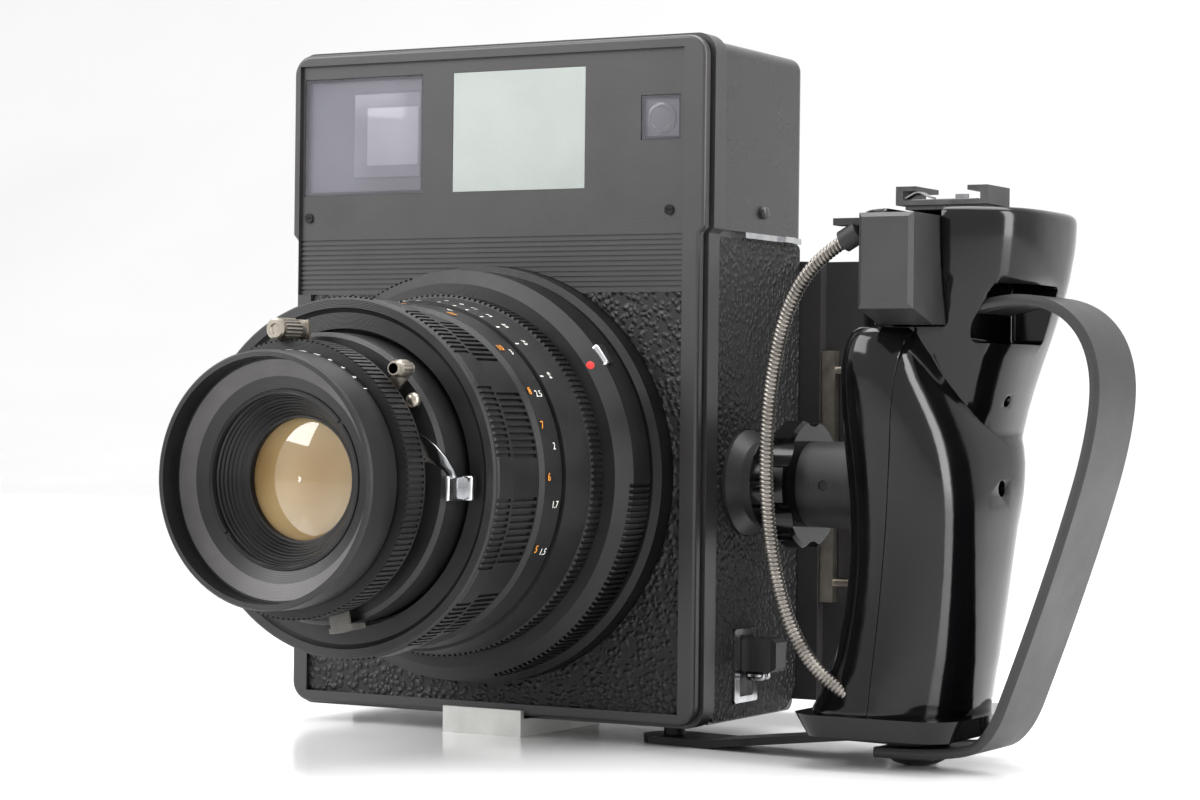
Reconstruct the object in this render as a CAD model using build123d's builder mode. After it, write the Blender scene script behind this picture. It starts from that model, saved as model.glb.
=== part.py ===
"""Press camera with a leaf-shutter lens, a side grip with hand strap and a roll film back.

The lens looks along -Y, the grip stands on the +X side and +Z is up.  The origin is the mouth
of the tripod socket, so the camera stands on Z = 0.  Everything is in millimetres.
"""
import os
from math import cos, radians, sin, tan

from build123d import *

os.makedirs("parts", exist_ok=True)

# ---------------------------------------------------------------- clearances
RUN = 0.05          # radial clearance of a shaft in its hole
GAP = 0.4           # space left between pieces that move past each other
SEAT = 0.2          # space around a piece that drops into a pocket of the same casting

# ---------------------------------------------------------------- body
BODY_W = 115.0      # across the side walls, without the covering
SIDE_X = BODY_W / 2
BODY_BASE = 5.0     # underside above the standing surface
BODY_TOP = 170.8
BODY_D = 47.1       # from the back of the bezel to the film plane
BODY_WALL = 2.5
HEAD_FLARE = 1.4    # the finder head is wider than the lower body by this on each side
HEAD_Z = 125.0      # where the head starts
FRONT = -18.0       # front plane of the bezel
BEZEL_D = 9.3
BEZEL_OVER = 1.7    # bezel beyond the side walls
BEZEL_TOP = 172.0
BEZEL_BASE = 4.4
RIM_W = 3.6         # front lip of the bezel
PLATE_T = 2.5       # front casting behind the coverings
RECESS = 1.0        # panels lie this far behind the bezel front
LEATHER_T = 0.8
AXIS_Z = 64.6       # lens axis above the standing surface
THROAT_R = 40.4     # hole in the front casting behind the lens
STRIP_Z = (109.6, 124.6)
WINDOW_Z = (135.0, 165.0)
FINDER_X = (-57.0, -21.0)
FRESNEL_X = (-12.0, 26.2)
RANGE_X = (41.7, 52.6)
RANGE_Z = (146.3, 157.2)
GATE_W = 83.0       # the 6 x 9 picture on 120 film
GATE_H = 56.0

# ---------------------------------------------------------------- lens: (ahead of bezel, radius)
FLANGE_R = 51.5
FLANGE_T = 6.0
LOCK_R = 50.0
LOCK_AHEAD = (6.6, 18.9)
BARREL_R = 43.6     # bearing of the lock ring
SCALE_AHEAD = (19.4, 33.5)
SCALE_R = (43.7, 41.8)
BORE_R = 36.5       # bearing of the focusing ring in the barrel
FOCUS_AHEAD = (34.1, 63.8)
FOCUS_R = 39.6
FOCUS_FLANGE_R = 41.9
RIBS_AHEAD = (42.0, 56.6)
HEAD_BORE_R = 34.4  # helicoid thread, taken as a plain bearing
CASE_R = 33.4
CASE_AHEAD = (62.0, 72.6)
NECK_R = 23.0       # bearing of the levers and of the speed ring
NECK_BORE_R = 19.1
LEVER_T = 0.8
SPEED_R = 31.5
RIM_AHEAD = (84.9, 95.2)
RIM_R = 29.0        # a 55 mm filter thread in a 58 mm rim
FILTER_R = 27.5
FILTER_DEPTH = 5.3
NAME_R = (23.2, 26.9)
GLASS_R = 13.9
REAR_GLASS_R = 12.4
BLADES = 5

# ---------------------------------------------------------------- grip
GRIP_X = SIDE_X + 60.0    # plane where the two grip shells meet
ARM_Y = 9.0
ARM_Z = 63.4
ARM_R = 10.5
HUB_BORE_R = 8.0    # spigot of the arm in the body socket
DISH_R = 13.0
KNOB_R = 16.0
KNOB_X = (SIDE_X + 7.5, SIDE_X + 19.1)
ARM_END_X = GRIP_X - 13.5
SHELL_WALL = 2.6
FOOT = (GRIP_X - 2.5, -15.0)
FOOT_R = 7.0
SHANK_R = 2.9
FOOT_T = 2.4
STRAP_T = 2.4
STRAP_W = 25.0
STRAP_Y = -14.0
PLINTH_Z = (7.2, 12.4)
TRIGGER_X = (GRIP_X - 4.1, GRIP_X + 9.1)
TRIGGER_Z = (101.0, 125.4)
TRIGGER_Y = -48.0
TRIGGER_TRAVEL = 5.0
SHOE_X = (GRIP_X - 5.1, GRIP_X + 17.3)
SHOE_Y = (-24.8, -11.4)
SHOE_Z = 127.4
SHOE_T = 1.1
SHOE_BASE_T = 1.0
SHOE_SLOT = (18.6, 2.1)   # width and height of the standard accessory foot
BRACE_W = 15.0
BRACE_T = 1.8
BRACE_END = (47.0, -6.0)   # middle of its rounded far end
BRACE_LOW = 0.2            # underside of the far end
CABLE_D = 3.3
# a grip section: height, middle from the seam plane, half width, middle fore and aft, half depth
GRIP_SECTIONS = (
    (12.4, -5.7, 18.4, -12.0, 24.0),
    (17.0, -3.3, 17.6, -12.0, 23.0),
    (28.0, -2.3, 16.6, -11.0, 22.5),
    (40.0, -2.0, 15.2, -10.0, 23.0),
    (54.0, -2.3, 14.0, -8.0, 24.0),
    (68.0, -2.7, 14.0, -7.0, 25.0),
    (84.0, -2.1, 15.4, -7.0, 25.0),
    (98.0, 0.4, 18.0, -7.0, 25.0),
    (110.0, 2.7, 20.0, -7.0, 26.0),
    (120.0, 4.3, 21.0, -7.0, 27.0),
    (127.4, 4.9, 21.0, -7.0, 27.0),
)

# ---------------------------------------------------------------- film back
BACK_W = 166.0
BACK_Z = (7.6, 119.3)
ADAPTER_W = 128.0
ADAPTER_T = 3.4
CHAMBER_D = 21.0    # film case from the adapter to the door
DOOR_D = 13.0
DOOR_WALL = 1.8
SPOOL_R = 8.9
SPOOL_FLANGE_T = 1.2
SPOOL_X = 66.0
SLIDE_T = 0.7

LENS_AXIS = Axis((0, 0, AXIS_Z), (0, 1, 0))
ARM_AXIS = Axis((0, ARM_Y, ARM_Z), (1, 0, 0))
BEZEL_BACK = FRONT + BEZEL_D
BODY_BACK = BEZEL_BACK + BODY_D
PLATE_FRONT = FRONT + RECESS + LEATHER_T
PLATE_BACK = PLATE_FRONT + PLATE_T
HEAD_X = SIDE_X + HEAD_FLARE
ADAPTER_Y = BODY_BACK + GAP
CASE_Y = ADAPTER_Y + ADAPTER_T
DOOR_Y = CASE_Y + CHAMBER_D + GAP


# ---------------------------------------------------------------- helpers
def block(x, y, z, mode=Mode.ADD):
    """Add or cut a box between two limits on each axis."""
    with Locations(((x[0] + x[1]) / 2, (y[0] + y[1]) / 2, (z[0] + z[1]) / 2)):
        Box(x[1] - x[0], y[1] - y[0], z[1] - z[0], mode=mode)


def ahead(distance):
    """Plane across the lens axis, this far ahead of the bezel, seen from the front."""
    return Plane(origin=(0, FRONT - distance, AXIS_Z), x_dir=(1, 0, 0), z_dir=(0, -1, 0))


def across(x, y=0.0, z=0.0):
    """Plane across the X axis, seen from +X."""
    return Plane(origin=(x, y, z), x_dir=(0, 1, 0), z_dir=(1, 0, 0))


def lens_turn(outline, mode=Mode.ADD):
    """Revolve an outline of (ahead, radius) points about the lens axis."""
    with BuildSketch(Plane.YZ) as half:
        with BuildLine():
            Polyline(*[(FRONT - far, AXIS_Z + r) for far, r in outline], close=True)
        make_face()
    revolve(half.sketch, axis=LENS_AXIS, mode=mode)


def arm_turn(outline, mode=Mode.ADD):
    """Revolve an outline of (x, radius) points about the axis of the grip arm."""
    with BuildSketch(Plane.XZ.offset(-ARM_Y)) as half:
        with BuildLine():
            Polyline(*[(x, ARM_Z + r) for x, r in outline], close=True)
        make_face()
    revolve(half.sketch, axis=ARM_AXIS, mode=mode)


def rod(plane, radius, length, mode=Mode.ADD):
    """A round bar that starts on the plane's origin and runs along its normal."""
    with BuildSketch(plane) as section:
        Circle(radius)
    extrude(section.sketch, amount=length, mode=mode)


def lens_teeth(radius, start, end, count, depth, width, first=0.0, span=360.0):
    """Cut axial grooves into a lens ring, from one station ahead to another."""
    with BuildSketch(ahead(start)) as grooves:
        with PolarLocations(radius, count, first, span):
            Rectangle(2 * depth, width)
    extrude(grooves.sketch, amount=end - start, mode=Mode.SUBTRACT)


def lens_element(back, front, radius, back_bulge, front_bulge):
    """A glass element between two stations, with a bulge on each face."""
    with BuildSketch(Plane.YZ) as half:
        with BuildLine():
            edge_front = (FRONT - front, AXIS_Z + radius)
            edge_back = (FRONT - back, AXIS_Z + radius)
            nose = (FRONT - front - front_bulge, AXIS_Z)
            tail = (FRONT - back + back_bulge, AXIS_Z)
            RadiusArc(nose, edge_front, sphere_radius(radius, front_bulge))
            Line(edge_front, edge_back)
            RadiusArc(edge_back, tail, sphere_radius(radius, back_bulge))
            Line(tail, nose)
        make_face()
    revolve(half.sketch, axis=LENS_AXIS)


def sphere_radius(half_width, bulge):
    return (half_width ** 2 + bulge ** 2) / (2 * bulge)


def lever(start, inner, outer, angle, reach, width):
    """A lever plate: a ring about the lens neck with an arm at an angle from +X."""
    with BuildSketch(ahead(start)) as plate:
        Circle(outer)
        with PolarLocations((inner + reach) / 2, 1, angle):
            Rectangle(reach - inner, width)
        Circle(inner, mode=Mode.SUBTRACT)
    extrude(plate.sketch, amount=LEVER_T)


def polar(radius, angle):
    """A point across the lens axis as (x, z)."""
    return radius * cos(radians(angle)), AXIS_Z + radius * sin(radians(angle))


def lens_pin(start, length, radius, angle, pin_r):
    """A round pin that runs forward, parallel to the lens axis."""
    x, z = polar(radius, angle)
    rod(Plane(origin=(x, FRONT - start, z), x_dir=(1, 0, 0), z_dir=(0, -1, 0)), pin_r, length)


def save(part, name):
    part.label = name
    export_step(part, f"parts/{name}.step")


# ================================================================ body
def front_outline(behind, inset, base_r=5.0):
    """The outline of the bezel on a plane behind its front, moved inwards by an inset."""
    low = SIDE_X + BEZEL_OVER - inset
    high = low + HEAD_FLARE
    base = BEZEL_BASE + inset
    top = BEZEL_TOP - inset
    with BuildSketch(Plane.XZ.offset(-FRONT - behind)) as outline:
        with BuildLine():
            FilletPolyline(
                (low, base), (low, HEAD_Z - HEAD_FLARE), (high, HEAD_Z), (high, top),
                (-high, top), (-high, HEAD_Z), (-low, HEAD_Z - HEAD_FLARE), (-low, base),
                radius=[base_r, 1, 1, base_r, base_r, 1, 1, base_r], close=True)
        make_face()
    return outline.sketch


with BuildPart() as front_bezel:
    lip_d = 2.4
    groove_w = 1.2
    extrude(front_outline(0, 0.8), amount=-lip_d)
    extrude(front_outline(lip_d, 1.8), amount=-groove_w)
    extrude(front_outline(lip_d + groove_w, 0), amount=-(BEZEL_D - lip_d - groove_w))
    fillet(front_bezel.faces().sort_by(Axis.Y)[0].edges(), 0.9)
    block((-SIDE_X + RIM_W, SIDE_X - RIM_W), (FRONT - 1, BEZEL_BACK + 1),
          (BEZEL_BASE + RIM_W, BEZEL_TOP - RIM_W), Mode.SUBTRACT)
    block((-SIDE_X - HEAD_FLARE + 1.0, SIDE_X - RIM_W), (FRONT - 1, BEZEL_BACK + 1),
          (STRIP_Z[0], BEZEL_TOP - RIM_W), Mode.SUBTRACT)
save(front_bezel.part, "front_bezel")

PANEL_X = (-SIDE_X - HEAD_FLARE + 1.0, SIDE_X - RIM_W)
LOW_X = (-SIDE_X + RIM_W, SIDE_X - RIM_W)
LOW_Z = (BEZEL_BASE + RIM_W, STRIP_Z[0])
PANEL_Z = (STRIP_Z[1], BEZEL_TOP - RIM_W)

WINDOW_LEDGE = 0.9    # the casting holds each pane by a narrow ledge
with BuildPart() as front_casting:
    block(LOW_X, (PLATE_FRONT, PLATE_BACK), (LOW_Z[0], PANEL_Z[1]))
    block(PANEL_X, (PLATE_FRONT, PLATE_BACK), PANEL_Z)
    with BuildSketch(ahead(-RECESS - LEATHER_T)):
        Circle(THROAT_R)
    extrude(amount=-PLATE_T, mode=Mode.SUBTRACT)
    for window_x, window_z in ((FINDER_X, WINDOW_Z), (FRESNEL_X, WINDOW_Z), (RANGE_X, RANGE_Z)):
        block((window_x[0] + WINDOW_LEDGE, window_x[1] - WINDOW_LEDGE), (PLATE_FRONT - 1, PLATE_BACK + 1),
              (window_z[0] + WINDOW_LEDGE, window_z[1] - WINDOW_LEDGE), Mode.SUBTRACT)
save(front_casting.part, "front_casting")

STRIP_PITCH = 1.25
with BuildPart() as front_panel:
    block(PANEL_X, (FRONT + RECESS, PLATE_FRONT), (STRIP_Z[0], PANEL_Z[1]))
    for window_x, window_z in ((FINDER_X, WINDOW_Z), (FRESNEL_X, WINDOW_Z), (RANGE_X, RANGE_Z)):
        block(window_x, (FRONT, PLATE_FRONT + 1), window_z, Mode.SUBTRACT)
    with BuildSketch(Plane.XZ.offset(-FRONT - RECESS)):
        with Locations((0, AXIS_Z)):
            Circle(FLANGE_R + SEAT)
    extrude(amount=-LEATHER_T, mode=Mode.SUBTRACT)
    groove_count = int((STRIP_Z[1] - STRIP_Z[0]) / STRIP_PITCH) - 1
    grooves = [(FRONT + RECESS, STRIP_Z[0] + STRIP_PITCH * (i + 1)) for i in range(groove_count)]
    with BuildSketch(across(PANEL_X[0])):
        with Locations(*grooves):
            Rectangle(0.7, 0.5)
    extrude(amount=PANEL_X[1] - PANEL_X[0], mode=Mode.SUBTRACT)
save(front_panel.part, "front_panel")

with BuildPart() as front_leather:
    with BuildSketch(Plane.XZ.offset(-PLATE_FRONT)):
        with Locations((0, (LOW_Z[0] + LOW_Z[1]) / 2)):
            RectangleRounded(LOW_X[1] - LOW_X[0], LOW_Z[1] - LOW_Z[0], 2)
        with Locations((0, AXIS_Z)):
            Circle(FLANGE_R + SEAT, mode=Mode.SUBTRACT)
    extrude(amount=LEATHER_T)
save(front_leather.part, "front_leather")


def pane(window_x, window_z, thickness):
    """A pane that fills its opening in the panel and rests on the casting behind."""
    block((window_x[0] + SEAT / 2, window_x[1] - SEAT / 2), (PLATE_FRONT - thickness, PLATE_FRONT),
          (window_z[0] + SEAT / 2, window_z[1] - SEAT / 2))


with BuildPart() as finder_windows:
    pane(FINDER_X, WINDOW_Z, LEATHER_T * 0.7)
    pane(RANGE_X, RANGE_Z, LEATHER_T * 0.7)
save(finder_windows.part, "finder_windows")

with BuildPart() as illumination_window:
    pane(FRESNEL_X, WINDOW_Z, LEATHER_T * 0.9)
save(illumination_window.part, "illumination_window")

PANEL_SCREWS = ((PANEL_X[0] + 2.6, 129.3), (49.8, 129.3))
SCREW_R = 1.25
with BuildPart() as panel_screws:
    with BuildSketch(Plane.XZ.offset(-FRONT - RECESS)):
        with Locations(*PANEL_SCREWS):
            Circle(SCREW_R)
    extrude(amount=0.5)
    with BuildSketch(Plane.XZ.offset(-FRONT - RECESS + 0.5)):
        with Locations(*PANEL_SCREWS):
            Rectangle(2.6, 0.4)
    extrude(amount=-0.3, mode=Mode.SUBTRACT)
save(panel_screws.part, "panel_screws")

# the lower body: a rectangular casting, open at the front, with the picture gate in its back
SHELL_BACK_R = 3.0
with BuildPart() as body_shell:
    block((-SIDE_X, SIDE_X), (BEZEL_BACK, BODY_BACK), (BODY_BASE, HEAD_Z))
    fillet(body_shell.edges().filter_by(Axis.X).sort_by(Axis.Z)[:2].sort_by(Axis.Y)[-1:], SHELL_BACK_R)
    block((-SIDE_X + BODY_WALL, SIDE_X - BODY_WALL), (BEZEL_BACK - 1, BODY_BACK - BODY_WALL),
          (BODY_BASE + BODY_WALL, HEAD_Z - BODY_WALL), Mode.SUBTRACT)
    block((-GATE_W / 2, GATE_W / 2), (BODY_BACK - BODY_WALL - 1, BODY_BACK + 1),
          (AXIS_Z - GATE_H / 2, AXIS_Z + GATE_H / 2), Mode.SUBTRACT)
save(body_shell.part, "body_shell")

with BuildPart() as top_housing:
    head_back_r = 3.5
    block((-HEAD_X, HEAD_X), (BEZEL_BACK, BODY_BACK), (HEAD_Z, BODY_TOP))
    fillet(top_housing.edges().filter_by(Axis.X).sort_by(Axis.Z)[-2:].sort_by(Axis.Y)[-1:], head_back_r)
    fillet(top_housing.edges().filter_by(Axis.Y).sort_by(Axis.Z)[-2:], 3.0)
    block((-HEAD_X + BODY_WALL, HEAD_X - BODY_WALL), (BEZEL_BACK - 1, BODY_BACK - BODY_WALL),
          (HEAD_Z - 1, BODY_TOP - BODY_WALL), Mode.SUBTRACT)
    rod(Plane(origin=(-39.0, BODY_BACK + 1, 150.0), x_dir=(1, 0, 0), z_dir=(0, -1, 0)), 8.0,
        BODY_WALL + 2, Mode.SUBTRACT)
save(top_housing.part, "top_housing")

with BuildPart() as eyepiece:
    eye_plane = Plane(origin=(-39.0, BODY_BACK - BODY_WALL - 6, 150.0), x_dir=(1, 0, 0), z_dir=(0, 1, 0))
    rod(eye_plane, 8.0, BODY_WALL + 6)
    rod(eye_plane.offset(BODY_WALL + 6), 11.0, 3.6)
    chamfer(eyepiece.faces().sort_by(Axis.Y)[-1].edges(), 0.8)
    rod(eye_plane.offset(-1), 6.0, BODY_WALL + 12, Mode.SUBTRACT)
save(eyepiece.part, "eyepiece")

# the finder bench carries the combining block and the mirror arm inside the head
BENCH_Z = HEAD_Z + 2.0
FINDER_MID = (FINDER_X[0] + FINDER_X[1]) / 2
WINDOW_MID = (WINDOW_Z[0] + WINDOW_Z[1]) / 2
RANGE_MID = (RANGE_X[0] + RANGE_X[1]) / 2
MIRROR_PIN = (RANGE_MID, BEZEL_BACK + 10.0)
with BuildPart() as finder_bench:
    block((-HEAD_X + BODY_WALL + GAP, HEAD_X - BODY_WALL - GAP),
          (BEZEL_BACK + GAP, BODY_BACK - BODY_WALL - GAP), (BENCH_Z, BENCH_Z + 2))
    rod(Plane(origin=(*MIRROR_PIN, BENCH_Z + 2)), 1.5, 26)
save(finder_bench.part, "finder_bench")

with BuildPart() as combining_prism:
    block((FINDER_MID - 13, FINDER_MID + 13), (MIRROR_PIN[1] - 9, MIRROR_PIN[1] + 9),
          (BENCH_Z + 2, BENCH_Z + 34))
    chamfer(combining_prism.edges(), 0.5)
save(combining_prism.part, "combining_prism")

with BuildPart() as mirror_arm:
    arm_z = BENCH_Z + 2 + GAP
    rod(Plane(origin=(*MIRROR_PIN, arm_z)), 3.4, 22)
    block((MIRROR_PIN[0] - 24, MIRROR_PIN[0]), (MIRROR_PIN[1] - 1.5, MIRROR_PIN[1] + 1.5), (arm_z, arm_z + 3))
    with BuildSketch(Plane(origin=(*MIRROR_PIN, arm_z + 8))):
        with Locations(Location((0, -3.2, 0), -45)):
            Rectangle(10, 1.2)
    extrude(amount=14)
    rod(Plane(origin=(*MIRROR_PIN, arm_z - 1)), 1.5 + RUN, 24, Mode.SUBTRACT)
save(mirror_arm.part, "mirror_arm")


SWITCH_Y = (2.8, 15.3)
SWITCH_Z = (9.3, 27.5)
with BuildPart() as side_leathers:
    for side in (-1, 1):
        with BuildSketch(across(side * SIDE_X)):
            with BuildLine():
                FilletPolyline(
                    (BEZEL_BACK + 0.3, BODY_BASE + 0.5), (BODY_BACK - 0.2, BODY_BASE + 0.5),
                    (BODY_BACK - 0.2, HEAD_Z - 1.7), (BEZEL_BACK + 0.3, HEAD_Z - 1.7),
                    radius=[1.0, 8.0, 1.5, 1.0], close=True)
            make_face()
            if side > 0:
                with Locations((ARM_Y, ARM_Z)):
                    Circle(DISH_R + SEAT, mode=Mode.SUBTRACT)
                with Locations((sum(SWITCH_Y) / 2, sum(SWITCH_Z) / 2)):
                    Rectangle(SWITCH_Y[1] - SWITCH_Y[0] + SEAT, SWITCH_Z[1] - SWITCH_Z[0] + SEAT,
                              mode=Mode.SUBTRACT)
        extrude(amount=side * LEATHER_T)
save(side_leathers.part, "side_leathers")

SWITCH_SLOT_W = 6.0
LEVER_Z = (17.4, 25.0)
with BuildPart() as switch_frame:
    with BuildSketch(across(SIDE_X)):
        with Locations(((SWITCH_Y[0] + SWITCH_Y[1]) / 2, (SWITCH_Z[0] + SWITCH_Z[1]) / 2)):
            RectangleRounded(SWITCH_Y[1] - SWITCH_Y[0], SWITCH_Z[1] - SWITCH_Z[0], 0.8)
            Rectangle(SWITCH_SLOT_W + 2 * GAP, SWITCH_Z[1] - SWITCH_Z[0] - 3.0, mode=Mode.SUBTRACT)
    extrude(amount=1.4)
save(switch_frame.part, "switch_frame")

with BuildPart() as back_lock_lever:
    switch_mid = (SWITCH_Y[0] + SWITCH_Y[1]) / 2
    block((SIDE_X + GAP, SIDE_X + 4.0), (switch_mid - SWITCH_SLOT_W / 2, switch_mid + SWITCH_SLOT_W / 2),
          LEVER_Z)
    block((SIDE_X + 2.0, SIDE_X + 10.4), (switch_mid - 2.9, switch_mid + 4.6),
          (LEVER_Z[0] - 0.3, LEVER_Z[1] + 0.3))
    chamfer(back_lock_lever.faces().sort_by(Axis.X)[-1].edges(), 1.0)
save(back_lock_lever.part, "back_lock_lever")

with BuildPart() as lug_plate:
    block((SIDE_X, HEAD_X + 0.8), (4.5, BODY_BACK - 2.4), (HEAD_Z - 1.5, HEAD_Z - 0.1))
    block((SIDE_X, HEAD_X + 2.0), (BODY_BACK - 14, BODY_BACK - 8), (HEAD_Z - 1.5, HEAD_Z - 0.1))
save(lug_plate.part, "lug_plate")

SOCKET_R = 3.175     # 1/4 inch tripod thread
BLOCK_W = 22.6
with BuildPart() as tripod_block:
    block((-BLOCK_W / 2, BLOCK_W / 2), (FRONT - 1.6, 20.0), (0, BEZEL_BASE))
    block((-BLOCK_W / 2, BLOCK_W / 2), (FRONT - 1.6, FRONT), (0, BEZEL_BASE + 2.2))
    block((-BLOCK_W / 2, BLOCK_W / 2), (BEZEL_BACK, 20.0), (0, BODY_BASE))
    rod(Plane.XY.offset(-1), SOCKET_R, BODY_BASE + 1, Mode.SUBTRACT)
save(tripod_block.part, "tripod_block")

# ================================================================ lens
SPIGOT_R = 39.0      # rear tube of the lens in the mount
with BuildPart() as mount_flange:
    lens_turn([(-RECESS - LEATHER_T, SPIGOT_R + RUN), (FLANGE_T, SPIGOT_R + RUN),
               (FLANGE_T, FLANGE_R - 1.5), (FLANGE_T - 1.5, FLANGE_R), (-RECESS - LEATHER_T, FLANGE_R)])
save(mount_flange.part, "mount_flange")

TUBE_REAR = -12.0
with BuildPart() as lens_barrel:
    lens_turn([(TUBE_REAR, BORE_R), (TUBE_REAR, SPIGOT_R), (FLANGE_T + 0.2, SPIGOT_R),
               (FLANGE_T + 0.2, BARREL_R), (SCALE_AHEAD[0], BARREL_R), (SCALE_AHEAD[0], 40.0),
               (SCALE_AHEAD[1], 40.0), (SCALE_AHEAD[1], BORE_R)])
save(lens_barrel.part, "lens_barrel")

with BuildPart() as depth_scale:
    serration = (SCALE_AHEAD[0] + 0.3, SCALE_AHEAD[0] + 4.4)
    lens_turn([(serration[0] - 0.2, 40.0), (serration[0] - 0.2, SCALE_R[0]), (serration[1], SCALE_R[0]),
               (serration[1] + 0.4, SCALE_R[0] - 0.7), (SCALE_AHEAD[1], SCALE_R[1]),
               (SCALE_AHEAD[1], 40.0)])
    lens_teeth(SCALE_R[0], serration[0] - 1, serration[1] + 1, 180, 0.45, 0.7)
save(depth_scale.part, "depth_scale")

with BuildPart() as lock_ring:
    lens_turn([(LOCK_AHEAD[0], BARREL_R + RUN), (LOCK_AHEAD[0], LOCK_R - 1), (LOCK_AHEAD[0] + 1, LOCK_R),
               (LOCK_AHEAD[1] - 3.1, LOCK_R), (LOCK_AHEAD[1], LOCK_R - 3.3),
               (LOCK_AHEAD[1], BARREL_R + RUN)])
    for grip_start in (-75, 105):
        lens_teeth(LOCK_R, LOCK_AHEAD[0] - 1, LOCK_AHEAD[1] + 1, 45, 0.7, 0.9, grip_start, 75)
save(lock_ring.part, "lock_ring")

RIB_GROUPS = 10
RIBS = 10
RIB_SPAN = 24.0       # degrees of ribs in each group, the rest is a smooth land
RIB_START = 8.3
with BuildPart() as focus_ring:
    sleeve_r = BORE_R - RUN
    lens_turn([(6, HEAD_BORE_R), (6, sleeve_r), (FOCUS_AHEAD[0], sleeve_r),
               (FOCUS_AHEAD[0], FOCUS_R + 1.5), (RIBS_AHEAD[0] - 1, FOCUS_R + 1),
               (RIBS_AHEAD[0], FOCUS_R), (RIBS_AHEAD[1], FOCUS_R), (RIBS_AHEAD[1] + 0.4, FOCUS_FLANGE_R),
               (FOCUS_AHEAD[1] - 0.6, FOCUS_FLANGE_R), (FOCUS_AHEAD[1], FOCUS_FLANGE_R - 0.6),
               (FOCUS_AHEAD[1], HEAD_BORE_R)])
    for group in range(RIB_GROUPS):
        group_start = RIB_START + group * 360 / RIB_GROUPS
        lens_teeth(FOCUS_R, RIBS_AHEAD[0] + 0.6, RIBS_AHEAD[1], RIBS, 0.7, 0.9, group_start, RIB_SPAN)
        lens_teeth(FOCUS_FLANGE_R, RIBS_AHEAD[1] + 1.4, FOCUS_AHEAD[1] + 1, RIBS + 2, 0.5, 0.8, group_start,
                   RIB_SPAN)
save(focus_ring.part, "focus_ring")

HEAD_REAR = 12.0
with BuildPart() as helicoid_sleeve:
    lens_turn([(HEAD_REAR, 31.4), (HEAD_REAR, HEAD_BORE_R - RUN), (CASE_AHEAD[0] - 2, HEAD_BORE_R - RUN),
               (CASE_AHEAD[0] - 2, CASE_R), (CASE_AHEAD[0], CASE_R), (CASE_AHEAD[0], 31.4)])
save(helicoid_sleeve.part, "helicoid_sleeve")

CASE_WALL = 1.8
REAR_TUBE = 48.0     # where the tube for the rear element starts
with BuildPart() as shutter_case:
    rear, face = CASE_AHEAD
    neck_end = RIM_AHEAD[0] - 0.3
    lens_turn([(REAR_TUBE, REAR_GLASS_R + 1), (REAR_TUBE, REAR_GLASS_R + 3), (rear, REAR_GLASS_R + 3),
               (rear, CASE_R), (face - 1, CASE_R), (face, CASE_R - 1), (face, NECK_R),
               (neck_end, NECK_R), (neck_end, NECK_BORE_R), (face - CASE_WALL, NECK_BORE_R),
               (face - CASE_WALL, CASE_R - CASE_WALL), (rear + CASE_WALL, CASE_R - CASE_WALL),
               (rear + CASE_WALL, REAR_GLASS_R), (REAR_TUBE + 2, REAR_GLASS_R),
               (REAR_TUBE + 2, REAR_GLASS_R + 1)])
save(shutter_case.part, "shutter_case")

with BuildPart() as rear_element:
    lens_element(REAR_TUBE + 3.5, REAR_TUBE + 7.5, REAR_GLASS_R - 0.02, 1.4, 0.8)
save(rear_element.part, "rear_element")

CELL_REAR = 72.4
with BuildPart() as front_cell:
    lens_turn([(CELL_REAR, GLASS_R), (CELL_REAR, NECK_BORE_R), (85.2, NECK_BORE_R), (85.2, NAME_R[0]),
               (88.5, NAME_R[0]), (87.1, 19.8), (80.6, GLASS_R + 0.5), (80.6, GLASS_R)])
    for step in range(8):
        groove = 81.2 + step * 0.72
        rise = GLASS_R + 1.1 + step * 0.67
        lens_turn([(groove, rise - 1.2), (groove, rise), (groove + 0.4, rise + 0.3),
                   (groove + 0.4, rise - 1.2)], Mode.SUBTRACT)
save(front_cell.part, "front_cell")

with BuildPart() as front_element:
    lens_element(74.0, 79.0, GLASS_R - 0.02, 0.8, 2.4)
save(front_element.part, "front_element")

BLADE_AHEAD = 66.6
BLADE_T = 0.25
with BuildPart() as shutter_blades:
    for blade in range(BLADES):
        with BuildSketch(ahead(BLADE_AHEAD + blade * BLADE_T)):
            with PolarLocations(21.5, 1, blade * 360 / BLADES):
                Rectangle(13, 11)
            Circle(14.6, mode=Mode.SUBTRACT)
        extrude(amount=BLADE_T)
save(shutter_blades.part, "shutter_blades")

with BuildPart() as iris_blades:
    iris_start = BLADE_AHEAD + 2.6
    lens_turn([(iris_start, 13.2), (iris_start, 20.0), (iris_start + 0.6, 20.0), (iris_start + 0.6, 13.2)])
save(iris_blades.part, "iris_blades")

# four lever rings turn on the neck, one in front of the other
LEVER_BORE = NECK_R + RUN
LEVER_PITCH = LEVER_T + GAP
lever_at = [CASE_AHEAD[1] + GAP + i * LEVER_PITCH for i in range(4)]

with BuildPart() as release_lever:
    lever(lever_at[0], LEVER_BORE, 27.0, 4.0, 36.4, 7.0)
    with BuildSketch(ahead(lever_at[0] - 9.0)):
        with PolarLocations(35.6, 1, 4.0):
            Rectangle(1.6, 7.0)
    extrude(amount=9.0 + LEVER_T)
    paddle = ahead(lever_at[0] - 9.0)
    with BuildSketch(paddle):
        with PolarLocations(37.4, 1, 4.0):
            Rectangle(5.2, 7.0)
    extrude(amount=1.6)
save(release_lever.part, "release_lever")

with BuildPart() as aperture_lever:
    lever(lever_at[1], LEVER_BORE, 27.0, 46.0, 35.6, 3.4)
    lens_pin(lever_at[1] - 0.6, 6.6, 34.9, 46.0, 1.5)
save(aperture_lever.part, "aperture_lever")

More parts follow.
